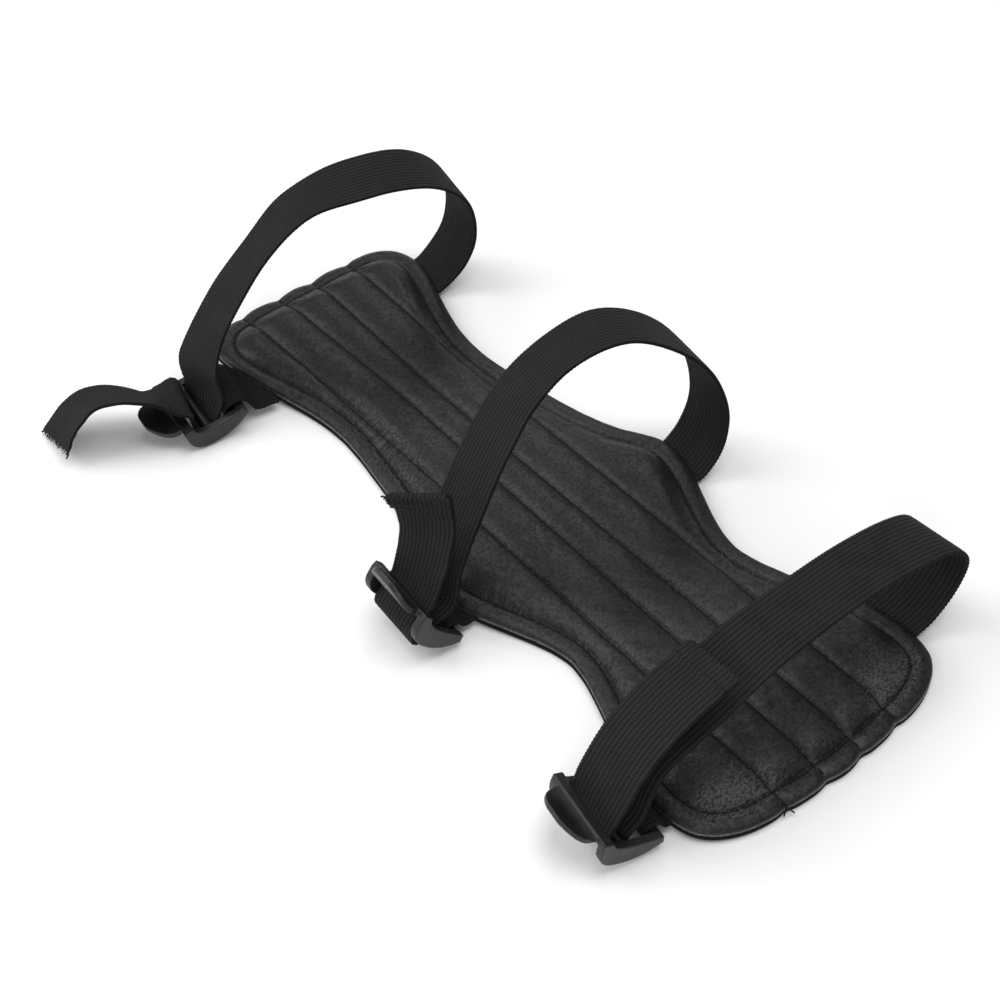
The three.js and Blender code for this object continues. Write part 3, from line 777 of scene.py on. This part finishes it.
def notched(rim):
    # how strongly each lip point is drawn in by a seam's end
    form = coverForm
    gaps = [np.abs(np.abs(rim[:, 1]) - seamSide(rim[:, 0], column)) for column in ("outer", "inner")]
    pull = bell(np.minimum(*gaps), form["notchHalf"])
    atWrist = np.where(rim[:, 0] < -form["notchFrom"], form["wristNotch"] * pull, 0)
    return np.where(rim[:, 0] > form["notchFrom"], pull, atWrist)


def densePath(path, count=900):
    places = np.linspace(0, len(path) - 1, count)
    return np.column_stack([np.interp(places, np.arange(len(path)), path[:, k]) for k in (0, 1)])


def gapsTo(points, targets):
    tree = treeOf(targets)
    return np.array([tree.find((x, y, 0))[2] for x, y in points])


def closestRows(plan, line):
    tree = treeOf(plan)
    return [tree.find((x, y, 0))[1] for x, y in line]


def faceUp(plan, face):
    a, b, c = (plan[i] for i in face[:3])
    return (b[0] - a[0]) * (c[1] - a[1]) - (b[1] - a[1]) * (c[0] - a[0])


def planMesh(outer, lines, loops, gridStep, lineClear=0.62, weld=1e-7):
    # triangles that follow every line, with even points between them
    points, edges = [], []
    for path, closed in [(outer, True)] + [(p, False) for p in lines] + [(p, True) for p in loops]:
        first, count = len(points), len(path)
        points.extend(map(tuple, path))
        edges.extend((first + i, first + i + 1) for i in range(count - 1))
        if closed:
            edges.append((first + count - 1, first))
    low, high = outer.min(axis=0), outer.max(axis=0)
    rows = np.arange(low[1], high[1], gridStep * math.sqrt(0.75))
    columns = np.arange(low[0], high[0], gridStep)
    grid = np.array([(x + (i % 2) * gridStep / 2, y) for i, y in enumerate(rows) for x in columns])
    grid = grid[insideLoop(outer, grid)]
    keep = grid[gapsTo(grid, points) > lineClear * gridStep]
    made = delaunay_2d_cdt([Vector(p) for p in [*points, *keep]], edges, [], 1, weld)
    plan = np.array([tuple(v) for v in made[0]])
    faces = [tuple(f) if faceUp(plan, f) > 0 else tuple(f[::-1]) for f in made[2]]
    return plan, faces


def linesBeside(seams, border):
    # a pair of lines along each seam, broken where it crosses the border
    form = coverForm
    borderDense = spacedLoop(border, form["fineStep"])
    made = []
    for path in seams:
        clear = gapsTo(path, borderDense) > form["besideClear"] * form["besideLine"]
        runs = np.split(np.arange(len(path)), np.flatnonzero(np.diff(clear.astype(int))) + 1)
        along = unitRows(np.gradient(path, axis=0))
        aside = np.column_stack([-along[:, 1], along[:, 0]]) * form["besideLine"]
        for line in (path + aside, path - aside):
            made.extend(line[run] for run in runs if clear[run[0]] and len(run) > 2)
    return made


def coverPlan(rim, border, seams):
    # the face seen from above, with each point's distance to the lip, the seams and the border
    form = coverForm
    beside = loopNormals(border) * form["besideLine"]
    lines = seams + linesBeside(seams, border)
    plan, faces = planMesh(rim, lines, [border, border + beside, border - beside], form["pointStep"])
    inset = gapsTo(plan, spacedLoop(rim, form["gapStep"]))
    seamGap = gapsTo(plan, np.vstack([densePath(path) for path in seams]))
    borderGap = gapsTo(plan, spacedLoop(border, form["gapStep"]))
    outer = np.minimum(inset, form["borderInset"])
    return {
        "plan": plan, "faces": faces, "inset": inset, "seamGap": seamGap, "borderGap": borderGap,
        "stitchGap": np.minimum(seamGap, borderGap),
        "depth": np.where(insideLoop(border, plan), form["borderInset"] + borderGap, outer),
    }


def coverHeights(face):
    # a level for each point, and how far the padding lifts it
    form, depth, seamGap = coverForm, face["depth"], face["seamGap"]
    share = np.clip(depth / form["borderInset"], 0, 1)
    band = form["lip"] + (form["stitch"] - form["lip"]) * share
    band += form["borderSwell"] * np.sin(np.pi * share)
    dip = np.sin(np.pi * np.clip(share, form["bandDipFrom"], 1))
    band -= form["bandDip"] * bell(seamGap, form["bandDipHalf"]) * dip
    beyond = np.maximum(depth - form["borderInset"], 0)
    base = form["stitch"] + form["seamRise"] * np.minimum(beyond / form["seamRiseReach"], 1)
    slack = 1 - np.minimum(np.minimum(beyond, seamGap) / form["crownReach"], 1)
    field = depth > form["borderInset"]
    level = np.where(field, base, band)
    wristEnd = ease((-face["plan"][:, 0] - form["wristFrom"]) / form["wristRun"])
    level -= form["wristDrop"] * wristEnd * (1 - share)
    return level, np.where(field, form["crown"] * (1 - slack**2), 0)


def quilted(piece, sewn):
    # the face is sewn down along its stitches and swells between them
    form = quiltForm
    group = piece.vertex_groups.new(name="sewn")
    group.add([int(i) for i in np.flatnonzero(sewn)], 1.0, "REPLACE")
    cloth = piece.modifiers.new("quilting", "CLOTH")
    settings = cloth.settings
    settings.vertex_group_mass = "sewn"
    settings.quality = form["quality"]
    settings.mass = form["mass"]
    settings.tension_stiffness = settings.compression_stiffness = form["tension"]
    settings.shear_stiffness = form["shear"]
    settings.bending_stiffness = form["bending"]
    settings.tension_damping = settings.compression_damping = settings.shear_damping = form["damping"]
    settings.use_pressure = True
    settings.uniform_pressure_force = form["pressure"]
    settings.shrink_min = -form["slack"]
    settings.effector_weights.gravity = 0
    cloth.collision_settings.use_collision = False
    cloth.collision_settings.use_self_collision = False
    cloth.point_cache.frame_start = 1
    cloth.point_cache.frame_end = form["frames"]
    for step in range(1, form["frames"] + 1):
        scene.frame_set(step)
    settle(piece)
    scene.frame_set(1)
    return np.array([tuple(v.co) for v in piece.data.vertices])


def swollenFace(face):
    form, plan, inset = coverForm, face["plan"], face["inset"]
    base, pillow = coverHeights(face)
    points = np.column_stack([plan, base + pillow])
    start = base + quiltForm["startShare"] * pillow
    sheet = addPiece("quilting", np.column_stack([plan, start]), face["faces"])
    shift = quilted(sheet, (face["stitchGap"] < form["sewnHalf"]) | (inset < form["sewnLip"])) - points
    print("quilting moved the face by up to", round(float(np.abs(shift).max() / mm), 2), "mm")
    points += np.clip(shift, -quiltForm["moveCap"], quiltForm["moveCap"])
    bpy.data.objects.remove(sheet)
    outside = face["depth"] < form["borderInset"] - form["outerFrom"]
    strength = np.where(outside, form["outerGroove"], 1.0) * (inset > form["grooveClear"])
    points[:, 2] -= form["grooveDepth"] * strength * bell(face["stitchGap"], form["grooveHalf"])
    return points


def ringFaces(rings):
    faces = []
    for upper, lower in zip(rings, rings[1:]):
        for i in range(len(upper)):
            j = (i + 1) % len(upper)
            faces.append((upper[i], lower[i], lower[j], upper[j]))
    return faces


def closedBody(face, points, rim):
    # the lip rolls over and the underside closes the body
    form = coverForm
    order = closestRows(face["plan"], rim)
    points[order, 2] -= form["notchDip"] * notched(rim)
    points[:, 2] += liftsAt(face["plan"])
    # each lip ring also carries its share of the painted lip highlight, stored as an attribute
    layers, rings, lipHighlightShares = [points], [order], [np.zeros(len(points))]
    count, outward = len(points), loopNormals(rim)
    for out, down, lipHighlightLevel in form["lipRoll"]:
        layers.append(np.column_stack([rim + outward * out * mm, points[order, 2] - down * mm]))
        rings.append(list(range(count, count + len(rim))))
        lipHighlightShares.append(np.full(len(rim), lipHighlightLevel))
        count += len(rim)
    under = layers[-1][:, :2]
    lowPlan, lowFaces = planMesh(under, [], [], form["underStep"])
    lowIndex = np.arange(count, count + len(lowPlan))
    lowIndex[closestRows(lowPlan, under)] = rings[-1]
    layers.append(np.column_stack([lowPlan, liftsAt(lowPlan) + form["underside"]]))
    lipHighlightShares.append(np.zeros(len(lowPlan)))
    faces = face["faces"] + ringFaces(rings) + [tuple(lowIndex[i] for i in f[::-1]) for f in lowFaces]
    cover = addPiece("pad_cover_leather", np.vstack(layers), faces)
    storeValues(cover, "lipHighlightShare", np.concatenate(lipHighlightShares))
    return cover


def puckering(face):
    # strongest on the buckle side near the waist, none at the ends or where stitches cross
    form = puckerForm
    x, y = face["plan"].T
    waist = ease((-y - form["sideFrom"]) / form["sideRun"]) * bell(x - form["waistAt"], form["waistHalf"])
    patches = np.sin(x / form["patchLong"] + form["patchShift"] * np.sign(y)) * np.sin(y / form["patchWide"])
    strength = form["rest"] + form["patches"] * (0.5 + 0.5 * patches) + form["waist"] * waist
    crossing = ease(np.maximum(face["seamGap"], face["borderGap"]) / form["crossingClear"])
    awayFromEnds = 1 - ease((np.abs(x) - form["endsFrom"]) / form["endsRun"])
    return np.clip(strength, 0, 1) * crossing * awayFromEnds


def crumpling(face):
    # the face is gathered at the elbow end, most in its two outer corners
    form = crumpleForm
    x, y = face["plan"].T
    atEnd = ease(1 - (form["end"] - x) / form["run"])
    inCorner = ease((np.abs(y) - form["cornerFrom"]) / form["cornerRun"])
    return np.clip(atEnd * (0.5 + 0.5 * inCorner) * ease(face["depth"] / form["edgeRun"]), 0, 1)


def storeFace(cover, face):
    # what the leather finish reads, and creases that keep the grooves crisp
    form, plan = coverForm, face["plan"]
    rest = len(cover.data.vertices) - len(plan)
    acrossEnd = (face["borderGap"] < face["seamGap"]) & (np.abs(plan[:, 0]) > form["acrossFrom"])
    values = {
        "stitchGap": (face["stitchGap"], form["farFromStitch"]),
        "stitchAlong": (np.where(acrossEnd, plan[:, 1], plan[:, 0]), 0),
        "pucker": (puckering(face), 0),
        "crumple": (crumpling(face), 0),
    }
    for name, (numbers, beyond) in values.items():
        storeValues(cover, name, np.r_[numbers, np.full(rest, beyond)])
    onLine = (face["stitchGap"] < form["sewnHalf"]) & (face["inset"] > form["creaseClear"])
    sewn = np.r_[onLine, np.zeros(rest, bool)]
    ends = np.array([e.vertices[:] for e in cover.data.edges])
    crease = cover.data.attributes.new("crease_edge", "FLOAT", "EDGE")
    amounts = np.where(sewn[ends].all(axis=1), form["crease"], 0.0)
    crease.data.foreach_set("value", amounts.astype(np.float32))


def dropLoose(piece):
    shape = bmesh.new()
    shape.from_mesh(piece.data)
    bmesh.ops.delete(shape, geom=[v for v in shape.verts if not v.link_faces], context="VERTS")
    shape.to_mesh(piece.data)
    shape.free()


def gathered(cover):
    # shallow ridged folds in the face where the elbow end is drawn together
    form = coverForm
    weights = np.zeros(len(cover.data.vertices), np.float32)
    cover.data.attributes["crumple"].data.foreach_get("value", weights)
    for vertex, weight in zip(cover.data.vertices, weights):
        if weight < crumpleForm["least"]:
            continue
        place = (vertex.co.x / form["foldAcross"], vertex.co.y / form["foldAlong"], form["foldLevel"])
        ridge = 1 - form["foldSharpness"] * abs(noise.noise(Vector(place)))
        vertex.co.z += form["foldHeight"] * float(weight) * ridge
    cover.data.update()


def makeCover(rim, border, seams):
    face = coverPlan(rim, border, seams)
    cover = closedBody(face, swollenFace(face), rim)
    storeFace(cover, face)
    dropLoose(cover)
    smooth = cover.modifiers.new("smooth", "SUBSURF")
    smooth.levels = smooth.render_levels = 1
    gathered(settle(cover))
    return finishPiece(cover, leather, "pad_cover")


def borderOf(outline):
    form = coverForm
    border = softenedLoop(outline, form["borderSoft"])
    border = spacedLoop(border - loopNormals(border) * form["borderInset"], form["fineStep"])
    return spacedLoop(softenedLoop(border, form["insetSoft"]), form["lineStep"])


outline = spacedLoop(coverOutline(), coverForm["fineStep"])
lipLoop = spacedLoop(softenedLoop(outline, coverForm["lipSoft"]), coverForm["lineStep"])
borderLoop = borderOf(outline)
seams = seamPaths(lipLoop)
lipLoop = lipLoop - loopNormals(lipLoop) * (coverForm["notchDepth"] * notched(lipLoop))[:, None]
coverPiece = makeCover(lipLoop, borderLoop, seams)


# stitches along the border and the four seams
stitchForm = {"Pitch": 2.9 * mm, "Length": 2.5 * mm, "Thickness": 0.5 * mm}
stitchRise = 0.05 * mm


def makeStitches():
    rays, paths = raysTo(coverPiece), []
    for path in [np.vstack([borderLoop, borderLoop[:1]]), *seams]:
        heights = [rays.ray_cast(Vector((x, y, clearOfAll)), tableward)[0].z for x, y in path]
        paths.append(np.column_stack([path, np.array(heights) + stitchRise]))
    treePiece("pad_stitches", paths, "stitches", stitchForm, thread)


makeStitches()


# the thin backing under the cover
backingForm = {
    "margin": 0.45 * mm, "thickness": 1.1 * mm, "step": 4 * mm, "rimStep": 1.2 * mm, "rimSoft": 1.0 * mm,
    "feelInside": 1.2 * mm,
    # rings round the edge: how far out, and how high as a share of the thickness
    "rolls": ((0.22 * mm, 0.75), (0.25 * mm, 0.35)),
}


def makeBacking():
    form = backingForm
    rim = softenedLoop(spacedLoop(lipLoop, coverForm["fineStep"]), form["rimSoft"])
    rim = spacedLoop(rim + loopNormals(rim) * form["margin"], form["rimStep"])
    normals = loopNormals(rim)
    plan, faces = planMesh(rim, [], [], form["step"])
    order = closestRows(plan, rim)
    lift, rimLift = liftsAt(plan), liftsAt(rim - normals * form["feelInside"])
    lift[order] = rimLift
    n = len(plan)
    points = [np.column_stack([plan, lift + form["thickness"]]), np.column_stack([plan, lift])]
    faces = faces + [tuple(n + i for i in face[::-1]) for face in faces]
    rings, count = [order], 2 * n
    for out, up in form["rolls"]:
        points.append(np.column_stack([rim + normals * out, rimLift + up * form["thickness"]]))
        rings.append(list(range(count, count + len(rim))))
        count += len(rim)
    rings.append([n + i for i in order])
    piece = addPiece("pad_backing_cloth", np.vstack(points), faces + ringFaces(rings))
    finishPiece(piece, backingCloth, "pad_backing")


makeBacking()


# straps and webbing: bands that follow the CAD sections
bandForm = {
    "width": 20 * mm, "strapThickness": 1.4 * mm, "webbingThickness": 1.2 * mm, "rowStep": 0.6 * mm,
    "samplesPerRib": 4, "ribHeight": 0.13 * mm, "edgeTooth": 0.1 * mm, "toothPower": 40,
    "edgeThin": 0.35, "thinPower": 14, "hemExtra": 0.75 * mm, "hemRamp": 1.0 * mm, "cornerRound": 1.3 * mm,
    "cornerAngle": 50, "slantRun": 12 * mm, "tailApart": 60 * mm, "tailRun": 50 * mm,
}
# in mm, where a band sits looser or closer than its solid: near which point, how far, over what length
bandNudges = {
    "strap_wrist": (
        ((-100.2, -63.6, 9.0), (0, 1.1, 1.1), 4.0), ((-101.3, -55.8, 21.5), (1.0, 0.1, 0), 10.0),
    ),
    "strap_middle": (((14.3, -62.4, 10.2), (0, -2.8, -2.4), 6.0),),
    "anchor_wrist": (((-98.4, -50.6, 8.4), (0, -2.4, 0.3), 4.5),),
}
# where a band is rolled about its own length: near which point, by how many degrees, over what length
bandRolls = {
    "strap_wrist": (
        ((-100.2, -55.9, 18.5), -11, 8.0), ((-99.0, -56.0, 12.5), -8, 6.0), ((-100.2, -63.6, 9.0), -12, 5.0),
        ((-103.2, -73.6, 15.2), 16, 8.0), ((-110.0, -83.2, 17.4), 5, 9.0), ((-116.0, -101.5, 4.9), 7, 10.0),
    ),
    "strap_elbow": (((101.1, -31.5, 35.4), -14, 24.0),),
}
# how each free tail ends: a folded hem of some length, or a raw cut
tailEnds = {
    "wrist": {"hem": 0, "standOff": 0, "oblique": 1.6 * mm},
    "middle": {"hem": 7.0 * mm, "stitchRows": (1.6 * mm, 2.8 * mm, 5.6 * mm), "standOff": 0},
    "elbow": {"hem": 7.0 * mm, "stitchRows": (5.4 * mm,), "standOff": 2.8 * mm,
              "tight": 4.6 * mm, "tightFrom": 10 * mm, "tightReach": 18 * mm},
}


def smoothPatches(shape):
    # faces grouped where they meet at less than the corner angle
    corner = math.radians(bandForm["cornerAngle"])
    seen, patches = set(), []
    for face in shape.faces:
        if face in seen:
            continue
        patch, stack = [], [face]
        seen.add(face)
        while stack:
            here = stack.pop()
            patch.append(here)
            for edge in here.edges:
                for other in edge.link_faces:
                    if other not in seen and here.normal.angle(other.normal) < corner:
                        seen.add(other)
                        stack.append(other)
        patches.append(patch)
    return patches


def bandSections(node, thickness):
    # rings of corners walked from the sewn end of a CAD band
    shape = mergedCopy(node)
    wanted = bandForm["width"] * thickness
    patches = smoothPatches(shape)
    caps = sorted(patches, key=lambda patch: abs(sum(f.calc_area() for f in patch) - wanted))[:2]
    start = min(caps, key=lambda patch: min(v.co.z for f in patch for v in f.verts))
    ring = {v for f in start for v in f.verts}
    reached, rings = set(ring), []
    while ring:
        rings.append(np.array([v.co[:] for v in ring]))
        ring = {e.other_vert(v) for v in ring for e in v.link_edges} - reached
        reached |= ring
    shape.free()
    centres, across = [], []
    for corners in rings:
        centre = corners.mean(axis=0)
        direction = np.linalg.svd(corners - centre)[2][0]
        if direction @ (across[-1] if across else np.array([1.0, 0, 0])) < 0:
            direction = -direction
        centres.append(centre)
        across.append(direction)
    return np.array(centres), np.array(across)


def nearPlace(along, line, near, reach):
    # how strongly each row feels a change at a point, both in mm
    at = along[np.argmin(np.linalg.norm(line - np.array(near) * mm, axis=1))]
    return bell(along - at, reach * mm)[:, None]


def bandRows(node, thickness):
    centres, across = bandSections(node, thickness)
    lengths = lengthsAlong(centres)
    along = np.linspace(0, lengths[-1], int(lengths[-1] / bandForm["rowStep"]) + 1)
    line, wide = hermite(centres, lengths, along), hermite(across, lengths, along)
    for near, move, reach in bandNudges.get(node, ()):
        line = line + nearPlace(along, line, near, reach) * np.array(move) * mm
    tangent = unitRows(np.gradient(line, along, axis=0))
    wide = unitRows(wide - tangent * np.sum(wide * tangent, axis=1)[:, None])
    angle = np.zeros((len(along), 1))
    for near, degrees, reach in bandRolls.get(node, ()):
        angle += math.radians(degrees) * nearPlace(along, line, near, reach)
    wide = wide * np.cos(angle) + np.cross(tangent, wide) * np.sin(angle)
    return {"along": along, "line": line, "wide": wide, "up": np.cross(tangent, wide), "tangent": tangent}


def roundedEnd(rows, half):
    # half width along a band whose free end has rounded corners
    radius = bandForm["cornerRound"]
    left = np.clip(rows["along"][-1] - rows["along"], 0, radius)
    return half - radius + np.sqrt(np.maximum(radius**2 - (radius - left) ** 2, 0))


def bandFaces(count, columns):
    ring, last = 2 * (columns + 1), (count - 1) * 2 * (columns + 1)
    faces = []
    for a in range(0, last, ring):
        for i in range(ring):
            j = (i + 1) % ring
            faces.append((a + i, a + j, a + ring + j, a + ring + i))
    for i in range(columns):
        j = ring - 1 - i
        faces.append((i, j, j - 1, i + 1))
        faces.append((last + i, last + i + 1, last + j - 1, last + j))
    return faces


def bandVolume(piece):
    shape = bmesh.new()
    shape.from_mesh(piece.data)
    volume = shape.calc_volume(signed=True)
    shape.free()
    return volume


def makeBand(name, rows, thickness, hem=None, oblique=0.0):
    # a ring of points for every row: the upper face, then the lower face back again
    form, count = bandForm, len(rows["along"])
    columns = elasticRibs * form["samplesPerRib"]
    upper = np.linspace(-1, 1, columns + 1)
    shares = np.r_[upper, upper[::-1]]
    facing = np.repeat([1.0, -1.0], columns + 1)
    tooth = np.where(np.arange(count) % 2, 1.0, -1.0) * form["edgeTooth"]
    half = np.full(count, form["width"] / 2 - form["ribHeight"])
    thin = 1 - form["edgeThin"] * np.abs(shares) ** form["thinPower"]
    rise = np.tile(facing * thin * (thickness / 2 - form["ribHeight"]), (count, 1))
    if hem is not None:
        half = roundedEnd(rows, half)
        rise -= hem[:, None] * (facing < 0)
    reach = (half[:, None] + tooth[:, None] * np.abs(shares) ** form["toothPower"]) * shares
    slant = oblique * ease(1 - (rows["along"][-1] - rows["along"]) / form["slantRun"])
    points = rows["line"][:, None] + rows["wide"][:, None] * reach[..., None]
    points = points + rows["up"][:, None] * rise[..., None]
    points = points - rows["tangent"][:, None] * (slant[:, None] * shares)[..., None]
    band = addPiece(name, points.reshape(-1, 3), bandFaces(count, columns))
    storeValues(band, "across", np.tile(shares, count))
    storeValues(band, "along", np.repeat(rows["along"], len(shares)))
    if bandVolume(band) < 0:
        band.data.flip_normals()
    return band


def wovenBand(node, rows, thickness, material, slot, hem=None, oblique=0.0):
    band = makeBand(f"{node}_{slot}", rows, thickness, hem, oblique)
    values = {"Ribs": float(elasticRibs), "Rib Height": bandForm["ribHeight"], "Material": material}
    treeModifier(band, "ribs", values)
    finishPiece(settle(band), material, node)


def liftedTail(rows, end):
    # the free tail stands off the strap it lies along, and that stretch of strap runs tighter below it
    along, line, up = rows["along"], rows["line"], rows["up"]
    left = along[-1] - along
    apart = left > bandForm["tailApart"]
    below = np.flatnonzero(apart)[np.argmin(np.linalg.norm(line[apart] - line[-1], axis=1))]
    gap = line[-1] - line[below]
    share = np.clip(1 - left / bandForm["tailRun"], 0, 1)
    amount = end["standOff"] * np.sign(up[-1] @ gap) * ease(share * 2)
    lower = bell(along - along[below] - end["tightFrom"], end["tightReach"]) * apart
    drop = up[below] * np.sign(up[below] @ -gap) * end["tight"]
    rows["line"] = line + up * amount[:, None] + drop * lower[:, None]


def hemThickness(rows, hem):
    if not hem:
        return None
    left = rows["along"][-1] - rows["along"]
    return bandForm["hemExtra"] * ease((hem - left) / bandForm["hemRamp"])


def makeStraps():
    made = {}
    for name in strapNames:
        end, thickness = tailEnds[name], bandForm["strapThickness"]
        rows = bandRows(f"strap_{name}", thickness)
        if end["standOff"]:
            liftedTail(rows, end)
        hem, oblique = hemThickness(rows, end["hem"]), end.get("oblique", 0.0)
        wovenBand(f"strap_{name}", rows, thickness, elastic, "elastic", hem, oblique)
        made[name] = rows
        thickness = bandForm["webbingThickness"]
        wovenBand(f"anchor_{name}", bandRows(f"anchor_{name}", thickness), thickness, webbing, "webbing")
    return made


strapRows = makeStraps()


# hem stitches, the frayed cut and loose thread ends
hemStitchForm = {"Pitch": 1.7 * mm, "Length": 1.5 * mm, "Thickness": 0.42 * mm}
frayForm = {"Strands": 90, "Length": 1.9 * mm, "Radius": 0.11 * mm, "Seed": 5}
sewnShares = np.linspace(-0.93, 0.93, 24)[:, None]
frayShares = np.linspace(-0.96, 0.96, 30)[:, None]
looseEnds = {
    "radius": 0.27 * mm, "hemBack": 2.2 * mm, "hemArch": 0.5 * mm, "hemRoot": 0.6 * mm,
    "lipInside": 0.97, "lipHeight": 3.4 * mm, "lipFall": 2.2 * mm, "lipRoot": 0.5 * mm, "lipOver": 1.2 * mm,
    "cutRoot": 1.0 * mm, "cutArch": 0.4 * mm,
    # how far each end leans, and its length
    "hem": ((0.4, 1.7 * mm), (-0.2, 1.1 * mm)),
    "lip": ((0.6, 2.8 * mm), (-0.7, 2.0 * mm)),
    # the same, after how far to one side
    "cut": ((0.97, 0.3, 2.4 * mm), (0.97, -0.5, 1.5 * mm), (-0.97, -0.7, 1.2 * mm)),
}


def rowBefore(rows, back):
    return int(np.argmin(np.abs(rows["along"][-1] - back - rows["along"])))


def hemStitches(name):
    # rows of stitches across the folded end, seen on both faces
    rows, half, paths = strapRows[name], bandForm["strapThickness"] / 2, []
    for back in tailEnds[name]["stitchRows"]:
        at = rowBefore(rows, back)
        middle = rows["line"][at] + rows["wide"][at] * sewnShares * bandForm["width"] / 2
        paths.extend(middle + rows["up"][at] * rise for rise in (half, -half - bandForm["hemExtra"]))
    treePiece(f"strap_{name}_hem_stitches", paths, "stitches", hemStitchForm, thread)


def cutSlant(name):
    # from the middle of a cut end to its +X corner
    rows = strapRows[name]
    return rows["wide"][-1] * bandForm["width"] / 2 - rows["tangent"][-1] * tailEnds[name]["oblique"]


def frayedEnd(name):
    rows = strapRows[name]
    edge = rows["line"][-1] + cutSlant(name) * frayShares
    values = {**frayForm, "Direction": tuple(float(v) for v in rows["tangent"][-1])}
    treePiece(f"strap_{name}_frayed_end", [edge], "fray", values, elasticThread)


def hemEnds():
    # at one corner of the middle strap's hem
    form, rows = looseEnds, strapRows["middle"]
    at = rowBefore(rows, form["hemBack"])
    sides = [rows["line"][at] + side * rows["wide"][at] * bandForm["width"] / 2 for side in (-1, 1)]
    corner = Vector(min(sides, key=lambda place: place[0]))
    out = (corner - Vector(rows["line"][at])).normalized()
    for lean, length in form["hem"]:
        tip = corner + (out + lean * Vector(rows["tangent"][at])) * length
        yield [corner - out * form["hemRoot"], corner, (corner + tip) / 2 + skyward * form["hemArch"], tip]


def lipEnds():
    # where the first seam runs over the lip at the elbow end
    form = looseEnds
    nearest = int(np.argmin(np.linalg.norm(lipLoop - seams[0][-1], axis=1)))
    height = liftsAt([lipLoop[nearest] * form["lipInside"]])[0] + form["lipHeight"]
    lip = Vector((*lipLoop[nearest], height))
    away = Vector((*loopNormals(lipLoop)[nearest], 0))
    for lean, length in form["lip"]:
        side = Vector((-away.y, away.x, 0)) * lean
        tip = lip + (away + side) * length + tableward * form["lipFall"]
        yield [lip - away * form["lipRoot"], lip + away * form["lipOver"], tip]


def cutEnds():
    # knotted strands at the corners of the cut wrist tail
    form, rows = looseEnds, strapRows["wrist"]
    on, over = Vector(rows["tangent"][-1]), Vector(rows["wide"][-1])
    for side, lean, length in form["cut"]:
        knot = Vector(rows["line"][-1] + cutSlant("wrist") * side)
        tip = knot + (on + over * lean) * length
        yield [knot - on * form["cutRoot"], knot, (knot + tip) / 2 + over * form["cutArch"], tip]


for name in ("middle", "elbow"):
    hemStitches(name)
frayedEnd("wrist")
loosePaths = [*hemEnds(), *lipEnds(), *cutEnds()]
treePiece("thread_ends", loosePaths, "thread", {"Radius": looseEnds["radius"]}, thread)


# moulded buckles: the CAD shape with its edges rounded over
buckleForm = {"voxel": 0.24 * mm, "rounds": 8, "easing": 0.5}


def makeBuckle(name):
    mesh = bpy.data.meshes.new(f"buckle_{name}_moulded")
    shape = mergedCopy(f"buckle_{name}")
    shape.to_mesh(mesh)
    shape.free()
    buckle = linkPiece(mesh.name, mesh)
    remesh = buckle.modifiers.new("even", "REMESH")
    remesh.mode = "VOXEL"
    remesh.voxel_size = buckleForm["voxel"]
    smooth = buckle.modifiers.new("round", "SMOOTH")
    smooth.factor = buckleForm["easing"]
    smooth.iterations = buckleForm["rounds"]
    finishPiece(settle(buckle), plastic, f"buckle_{name}")


for name in strapNames:
    makeBuckle(name)


# floor and light
stageForm = {"floorSize": 6.0, "floorDrop": 0.05 * mm, "sky": (1.0, 1.0, 1.0), "skyStrength": 0.3}
lampRows = (
    # name, place, size, power
    ("key", (-0.55, -0.5, 1.0), 0.9, 6.6),
    ("overhead", (0.15, 0.1, 1.2), 0.9, 6.8),
    ("behind", (-0.75, 0.75, 0.9), 0.5, 2.0),
    ("front", (0.8, -0.9, 0.6), 0.8, 4.6),
    ("low", (-0.95, -0.8, 0.4), 0.8, 3.0),
)


def makeStage():
    half = stageForm["floorSize"] / 2
    corners = [(-half, -half, 0), (half, -half, 0), (half, half, 0), (-half, half, 0)]
    floor = addPiece("floor", corners, [(0, 1, 2, 3)])
    floor.data.materials.append(floorMaterial())
    floor.location.z = -stageForm["floorDrop"]
    for name, place, size, power in lampRows:
        data = bpy.data.lights.new(name, "AREA")
        data.shape = "DISK"
        data.size = size
        data.energy = power
        lamp = linkPiece(name, data)
        lamp.location = place
        lamp.rotation_euler = (-Vector(place)).to_track_quat("-Z", "Y").to_euler()
    world = bpy.data.worlds.new("studio")
    world.use_nodes = True
    sky = world.node_tree.nodes["Background"]
    sky.inputs["Color"].default_value = (*stageForm["sky"], 1)
    sky.inputs["Strength"].default_value = stageForm["skyStrength"]
    scene.world = world
    scene.view_settings.view_transform = "Standard"


makeStage()
print("stage set")
